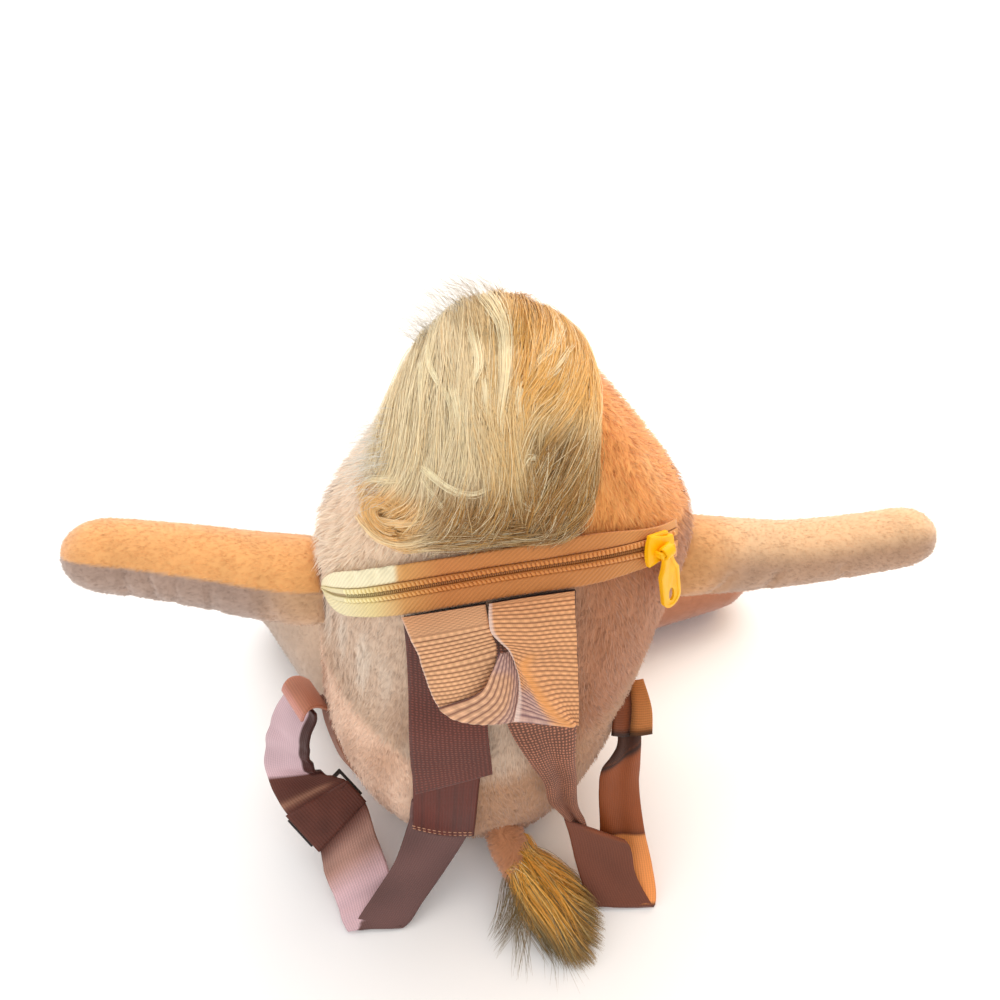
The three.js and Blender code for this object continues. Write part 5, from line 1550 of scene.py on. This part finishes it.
def maneStrands(groups):
    flat, high, layer = (np.concatenate([g[k] for g in groups]) for k in range(3))
    count = len(flat)
    s = np.linspace(0, 1, mane["stations"])[None]
    lam, rho = flat[..., 0], flat[..., 1]
    paths = onHead(lam, rho, high)
    normals = unit(bodyNormal(paths) + dice.normal(0, 0.2, (count, 1, 3)))
    widths = mane["width"] * dice.uniform(0.6, 1.3, count)[:, None] * np.sqrt(np.clip(1.04 - s ** 4, 0, 1))
    t = maneTones
    # the gold over the upper right is painted highlight; the low tone and the brown at the lower right and
    # along the lower edge are painted shade
    tones = layered(even(t["beige"], paths), t, [
        ("mid", ramp(-22, -4, lam)),
        ("gold", 0.9 * ramp(-4, 4, lam) * ramp(46, 62, rho) * ramp(124, 104, rho)),
        ("low", 0.8 * ramp(0, 9, lam) * ramp(52, 38, rho)),
        ("brown", 0.5 * ramp(2, 9, lam) * ramp(24, 15, lam) * ramp(48, 38, rho) * ramp(16, 24, rho)),
        ("low", 0.95 * ramp(30, 15, rho) * ramp(-44, -26, lam)),
        ("brown", 0.45 * ramp(12, 5, rho) * ramp(-30, -14, lam)),
        ("curl", 0.8 * ramp(-32, -44, lam) * ramp(22, 10, rho))])
    kind = dice.random(count)
    for name, low, upTo, share in (("cream", 0, 0.13, 0.6), ("light", 0.13, 0.34, 0.45),
                                   ("olive", 0.34, 0.48, 0.4), ("gold", 0.48, 0.58, 0.4)):
        tones = blendTone(tones, t[name], np.where((kind >= low) & (kind < upTo), share, 0)[:, None] + 0 * s)
    brighter = np.where(layer > 1.9, 0.7, np.where(layer > 1.5, 0.25, 0))
    tones = blendTone(tones, t["cream"], brighter[:, None] + 0 * s)
    # strands lying lower are painted darker, as shade under the raised ones
    return paths, widths, normals, tones * (0.8 + 0.28 * np.clip(high / 8, 0, 1))[..., None]


# thin pale hairs that stand off the crown and the left of the head
def wispStrands():
    count = mane["wisps"]
    s = np.linspace(0, 1, mane["stations"])[None]
    high = dice.random(count) < 0.62
    lam = np.where(high, dice.uniform(-36, 2, count), dice.uniform(-70, -50, count))
    rho = np.where(high, dice.uniform(97, 122, count), dice.uniform(14, 74, count))
    root = onHead(lam, rho, 3.0)
    aim = np.where(high[:, None], np.array((-0.55, 0.1, 0.85)), np.array((-0.95, -0.1, 0.15)))
    aim = aim + dice.normal(0, 0.3, (count, 3))
    droop = np.where(high[:, None], np.array((-1.0, 0.0, -0.25)), np.array((-0.2, -0.1, -1.0)))
    length = np.where(high, dice.uniform(7, 19, count), dice.uniform(8, 24, count))[:, None, None]
    at = s[..., None]
    paths = root[:, None] + length * (unit(aim)[:, None] * at + droop[:, None] * 0.4 * at ** 2)
    paths = paths + dice.normal(0, 1.0, (count, 1, 3)) * np.sin(at * 4.0)
    normals = unit(bodyNormal(paths) + dice.normal(0, 0.3, (count, 1, 3)))
    widths = 0.13 * dice.uniform(0.7, 1.2, count)[:, None] * np.sqrt(np.clip(1.04 - s ** 2, 0, 1))
    tones = even(maneTones["grey"], paths) * dice.uniform(0.85, 1.1, count)[:, None, None]
    return paths, widths, normals, tones


# the solid under the hair, smoothed
def hairBase(name, node, voxel, passes):
    base = copyOf(name, [node])
    applied(base, "REMESH", mode="VOXEL", voxel_size=voxel * mm)
    applied(base, "SMOOTH", factor=0.5, iterations=passes)
    return base, pointsOf(base) / mm


def finishBase(base, points, first, second, field, node):
    setPoints(base, points * mm)
    bpy.ops.object.shade_smooth()
    setTone(base, blendTone(even(first, points), second, ramp(-0.6, 0.6, field)))
    finishPiece(base, modacrylic, [node])


maneGroups = maneLines()
midway = len(maneGroups[0][0]) // 2
parted = [[tuple(part[k] for part in maneGroups[0])] for k in (slice(0, midway), slice(midway, None))]
for name, groups in (("mane_strands", parted[0]), ("mane_under", parted[1]), ("mane_locks", maneGroups[1:])):
    finishPiece(strandPiece(name, *maneStrands(groups)), modacrylic)
finishPiece(strandPiece("mane_wisps", *wispStrands()), modacrylic)

# pressed down to a thin woven base under the hair
maneBase, basePoints = hairBase("mane_base", "mane", 3, 24)
out = basePoints - plushBody["headCore"]
reach = np.linalg.norm(out, axis=1)
baseLam, baseRho = np.degrees(np.arcsin(out[:, 0] / reach)), np.degrees(np.arctan2(out[:, 2], -out[:, 1]))
skin = np.linalg.norm(onHead(baseLam, baseRho, 0) - plushBody["headCore"], axis=1)
basePoints = plushBody["headCore"] + out * ((skin + np.minimum(reach - skin, 1.2)) / reach)[:, None]
finishBase(maneBase, basePoints, maneTones["olive"], maneTones["beige"],
           wobble(basePoints * (1, 1, 0.2), 5, 12), "mane")

tuft = {"strands": 6000, "stations": 9, "root": np.array((25.0, -94.5, 16)), "heading": -50, "spread": 40,
        "length": 76, "width": 0.34, "wisps": 170, "lockAngle": 6.5, "base": (0.66, 0.66, 0.8)}
tuftTones = tonesOf(gold="#f2ab3a", amber="#fac766", dark="#a5762c", wisp="#5f5a44", pale="#fbe3a4")


def tuftStrands():
    spec, count = tuft, tuft["strands"] + tuft["wisps"]
    loose = np.arange(count) >= tuft["strands"]  # curved dark hairs at the left and the end
    turn = dice.normal(0, 0.5, count).clip(-1, 1) * spec["spread"]
    turn = np.where(turn < 0, turn * 0.6, turn)  # few hairs stand out at the left
    atLeft = dice.random(count) < 0.75
    leftTurn = -30 - 14 * np.floor(dice.random(count) * 3) + dice.normal(0, 1.5, count)
    turn = np.where(loose, np.where(atLeft, leftTurn, dice.uniform(-20, 30, count)), turn)
    lock = np.round(turn / spec["lockAngle"]) * spec["lockAngle"]
    length = spec["length"] * dice.uniform(0.58, 0.95, count) * (1 - 0.3 * np.abs(turn) / spec["spread"])
    length = length + np.where(loose, 9, 0)
    s = np.linspace(0, 1, spec["stations"])[None]
    curl = np.where(loose, dice.uniform(-34, -20, count), 0)[:, None]
    heading = np.radians(spec["heading"] + turn[:, None] + (lock - turn)[:, None] * 0.6 * s + curl * s)
    angle = dice.uniform(0, 2 * math.pi, count)
    early = 9 * ramp(-0.1, 0.8, np.cos(angle)) * ~loose  # hair starts further up on the right of the stem
    radius = np.where(early > 2, dice.uniform(10.4, 12.4, count), 9.8 * np.sqrt(dice.random(count)))
    early = (early + 6)[:, None]
    step = length[:, None] / (spec["stations"] - 1)
    east = np.cumsum(np.cos(heading) * step, 1) - np.cos(heading[:, :1]) * (step + early)
    south = np.cumsum(np.sin(heading) * step, 1) - np.sin(heading[:, :1]) * (step + early)
    wave = 2.6 * np.sin(s * 5.5 + lock[:, None] * 2.1) * s
    across = (radius * np.cos(angle))[:, None] * (1 + 0.35 * np.sin(math.pi * s))
    across = across * (1 - np.where(loose, 0.9, 0.35)[:, None] * s) + wave
    arch = 4.5 * np.sin(math.pi * s) * dice.uniform(0, 1, count)[:, None]
    fall = spec["root"][2] + (radius * np.sin(angle))[:, None] * (1 - 0.5 * s) - 11 * s ** 1.2 + arch
    x = spec["root"][0] + east - across * np.sin(heading)
    y = spec["root"][1] + south + across * np.cos(heading)
    paths = np.stack([x, y, np.maximum(fall, 0.7 + 0.8 * dice.random(count)[:, None])], -1)
    up = np.stack([-across / 14 * np.sin(heading), across / 14 * np.cos(heading), np.ones(across.shape)], -1)
    normals = unit(up + dice.normal(0, 0.2, (count, 1, 3)))
    widths = spec["width"] * np.where(loose, 0.7, dice.uniform(0.6, 1.3, count))[:, None]
    widths = widths * np.sqrt(np.clip(1.03 - s ** 4, 0, 1))
    table = np.stack([tuftTones[n] for n in ("gold", "amber", "dark", "wisp", "pale")])
    tone = table[dice.choice(5, count, p=[0.42, 0.26, 0.18, 0.06, 0.08])]
    shade = 0.7 * ramp(-8, -26, turn)[:, None] * ramp(0.3, 0.75, s) + 0.75 * ramp(0.62, 1, s)
    shade = np.clip(np.where(loose[:, None], 0.85, shade), 0, 0.85)
    tones = blendTone(even(tone[:, None], paths), tuftTones["wisp"], shade)
    return paths, widths, normals, tones


finishPiece(strandPiece("tuft_strands", *tuftStrands()), modacrylic)
tuftBase, basePoints = hairBase("tuft_base", "tail_tuft", 2.5, 12)
basePoints = tuft["root"] + (basePoints - tuft["root"]) * tuft["base"]  # kept well inside the hair
finishBase(tuftBase, basePoints, tuftTones["dark"], tuftTones["gold"], wobble(basePoints, 5, 13),
           "tail_tuft")
print("mane and tuft combed")


# pile: short leaning blades all over the plush, left out under what lies on it

def treeOf(pieces):
    points, faces = [], []
    for piece in pieces:
        base = len(points)
        points += [v.co.copy() for v in piece.data.vertices]
        faces += [[base + i for i in poly.vertices] for poly in piece.data.polygons]
    return BVHTree.FromPolygons(points, faces)


def scatter(obj, count, keep):
    mesh = obj.data
    mesh.calc_loop_triangles()
    tris = np.empty(len(mesh.loop_triangles) * 3, np.int32)
    mesh.loop_triangles.foreach_get("vertices", tris)
    tris = tris.reshape(-1, 3)
    points, normals = pointsOf(obj), readEach(obj, "normal")
    a, b, c = (points[tris[:, k]] for k in range(3))
    area = np.linalg.norm(np.cross(b - a, c - a), axis=1)
    which = dice.choice(len(tris), count, p=area / area.sum())
    u, v = dice.random(count), dice.random(count)
    over = u + v > 1
    u, v = np.where(over, 1 - u, u), np.where(over, 1 - v, v)
    shares = np.stack([1 - u - v, u, v], -1)
    at = (points[tris[which]] * shares[..., None]).sum(1)
    n = unit((normals[tris[which]] * shares[..., None]).sum(1))
    stay = dice.random(count) < keep(at / mm)
    return at[stay], n[stay]


pileClear = {"below": 0.0015, "reach": 0.008}  # metres, from under a root outward


def pileCoat(name, carrier, spec, toneAt, keep, blockers):
    root, n = scatter(carrier, spec["count"], keep)
    p = root / mm
    nap = spec["nap"](p)
    lay = unit(nap - n * (nap * n).sum(-1, keepdims=True) + dice.normal(0, spec["mess"], root.shape))
    lay = unit(lay - n * (lay * n).sum(-1, keepdims=True))
    length = spec["length"](p) * dice.uniform(0.7, 1.15, len(p)) * mm
    lean = np.radians(dice.normal(spec["lean"], 9, len(p)))[:, None]
    up = unit(lay * np.cos(lean) + n * np.sin(lean))
    middle = root + up * (length * 0.5)[:, None]
    tip = middle + unit(up + 0.45 * lay) * (length * 0.5)[:, None]
    heads = dice.choice(len(p), max(4, len(p) // spec["clump"]), replace=False)
    kd = KDTree(len(heads))
    for i, h in enumerate(heads):
        kd.insert(root[h], i)
    kd.balance()
    near = np.array([kd.find(q)[1] for q in root])
    gather = spec["gather"] * dice.uniform(0.4, 1, len(p))[:, None]
    tip = tip + (tip[heads[near]] - tip) * gather
    middle = middle + (middle[heads[near]] - middle) * gather * 0.35
    # a blade is left out where something lies close over its root, or in the way of its tip
    free = np.ones(len(p), bool)
    for i in range(len(p)):
        start, out = Vector(root[i] - n[i] * pileClear["below"]), Vector(n[i])
        if blockers.ray_cast(start, out, pileClear["reach"])[0] is not None:
            free[i] = False
            continue
        aim = Vector(tip[i] - root[i])
        if blockers.ray_cast(Vector(root[i]), aim.normalized(), aim.length)[0] is not None:
            free[i] = False
    root, middle, tip, n, p = (each[free] for each in (root, middle, tip, n, p))
    roll = dice.normal(0, 0.35, (len(root), 1))
    side = unit(np.cross(n, unit(tip - root)) + n * roll)
    wide = (spec["width"] * dice.uniform(0.7, 1.3, len(root)) * mm / 2)[:, None]
    points = np.stack([root - side * wide, root + side * wide, middle - side * wide * 0.8,
                       middle + side * wide * 0.8, tip], 1)
    points[..., 2] = np.maximum(points[..., 2], 0.0003)  # kept off the floor
    base = np.arange(len(root))[:, None, None] * 5
    faces = (base + np.array([[0, 3, 1], [0, 2, 3], [2, 4, 3]])).reshape(-1, 3)
    tone = toneAt(p) * dice.normal(1, 0.045, (len(p), 1))
    # each blade is painted darker at its root, as shade down in the pile, and a little lighter at its tip
    tones = tone[:, None] * np.array(spec["steps"])[[0, 0, 1, 1, 2]][None, :, None]
    grain = 1.5 * spec["shade"] * (tip - root) / np.linalg.norm(tip - root, axis=1, keepdims=True)
    shading = unit(n + dice.normal(0, spec["shade"], n.shape) + grain)
    return newMesh(name, points.reshape(-1, 3), faces, tones.reshape(-1, 3), None, np.repeat(shading, 5, 0))


onTop = treeOf(strapPieces + [grabLoop, tapeUpper, tapeLower, coil, sliderPiece]
               + list(limbPieces.values()) + [stem, muzzle])


def pileLength(p):
    x, y, z = p.T
    plain = 5.2 - 1.6 * ramp(4, -10, z - seatSeam(x)) + 1.6 * ramp(-55, -75, x)
    return plain + np.where(z > zipHeight(x) + 4, 0.2 + 2.5 * ramp(-30, -62, x), 0) + 0.7 * wobble(p, 16, 51)


def downNap(p):
    return np.stack([0.5 * wobble(p, 24, 41), 0.5 * wobble(p, 24, 42), -1 + 0.3 * wobble(p, 24, 43)], -1)


pile = {"nap": downNap, "mess": 0.14, "lean": 33, "width": 0.4, "clump": 16, "gather": 0.38,
        "length": pileLength, "shade": 0.16, "steps": (0.9, 1, 1.05), "split": 8}


def bodyKeep(p):
    underMane = ramp(4, 10, p[:, 2] - 262) * ramp(44, 36, p[:, 0]) * ramp(-40, -30, p[:, 0]) * (p[:, 1] < 50)
    thin = np.where(p[:, 2] < 3, 0.15, 1)  # few at the seat
    return np.clip((1 - 0.75 * underMane) * thin * np.where(p[:, 1] > 20, 0.7, 1), 0, 1)


def bodyHalf(front):
    return lambda p: bodyKeep(p) * ((p[:, 1] >= pile["split"]) == front)


def everywhere(p):
    return np.ones(len(p))


def evenLength(length):
    return lambda p: np.full(len(p), length)


def alongLimb(name):
    path = np.array(limbs["paths"][name], float)
    aim = unit(path[-1] - path[0]) + (0, 0, -0.5)
    return lambda p: aim + 0.2 * np.stack([wobble(p, 20, seed) for seed in (61, 62, 63)], -1)


for name, count, front in (("plush_pile_back", 98000, False), ("plush_pile_front", 112000, True)):
    coat = pileCoat(name, body, {**pile, "count": count}, plushTone, bodyHalf(front), onTop)
    finishPiece(coat, longPile)
shortPile = {"count": 14000, "mess": 0.12, "lean": 20, "width": 0.34, "clump": 9, "gather": 0.1,
             "length": evenLength(2.2), "shade": 0.05, "steps": (1, 1, 1)}
bodyTree = treeOf([body] + strapPieces)
for name, piece in limbPieces.items():
    coat = pileCoat(name + "_pile", piece, {**shortPile, "nap": alongLimb(name)}, limbTone(name), everywhere,
                    bodyTree)
    finishPiece(coat, velboa)
stemCoat = pileCoat("tail_pile", stem, {**pile, "count": 5000, "length": evenLength(4.5)},
                    lambda p: even(plushTones["stem"], p), everywhere, bodyTree)
finishPiece(stemCoat, longPile)
muzzleSpec = {**shortPile, "nap": downNap, "count": 6000, "length": evenLength(3.2)}
muzzleCoat = pileCoat("muzzle_pile", muzzle, muzzleSpec, lambda p: even(plushTones["muzzle"], p), everywhere,
                      bodyTree)
finishPiece(muzzleCoat, velboa)
print("pile brushed")
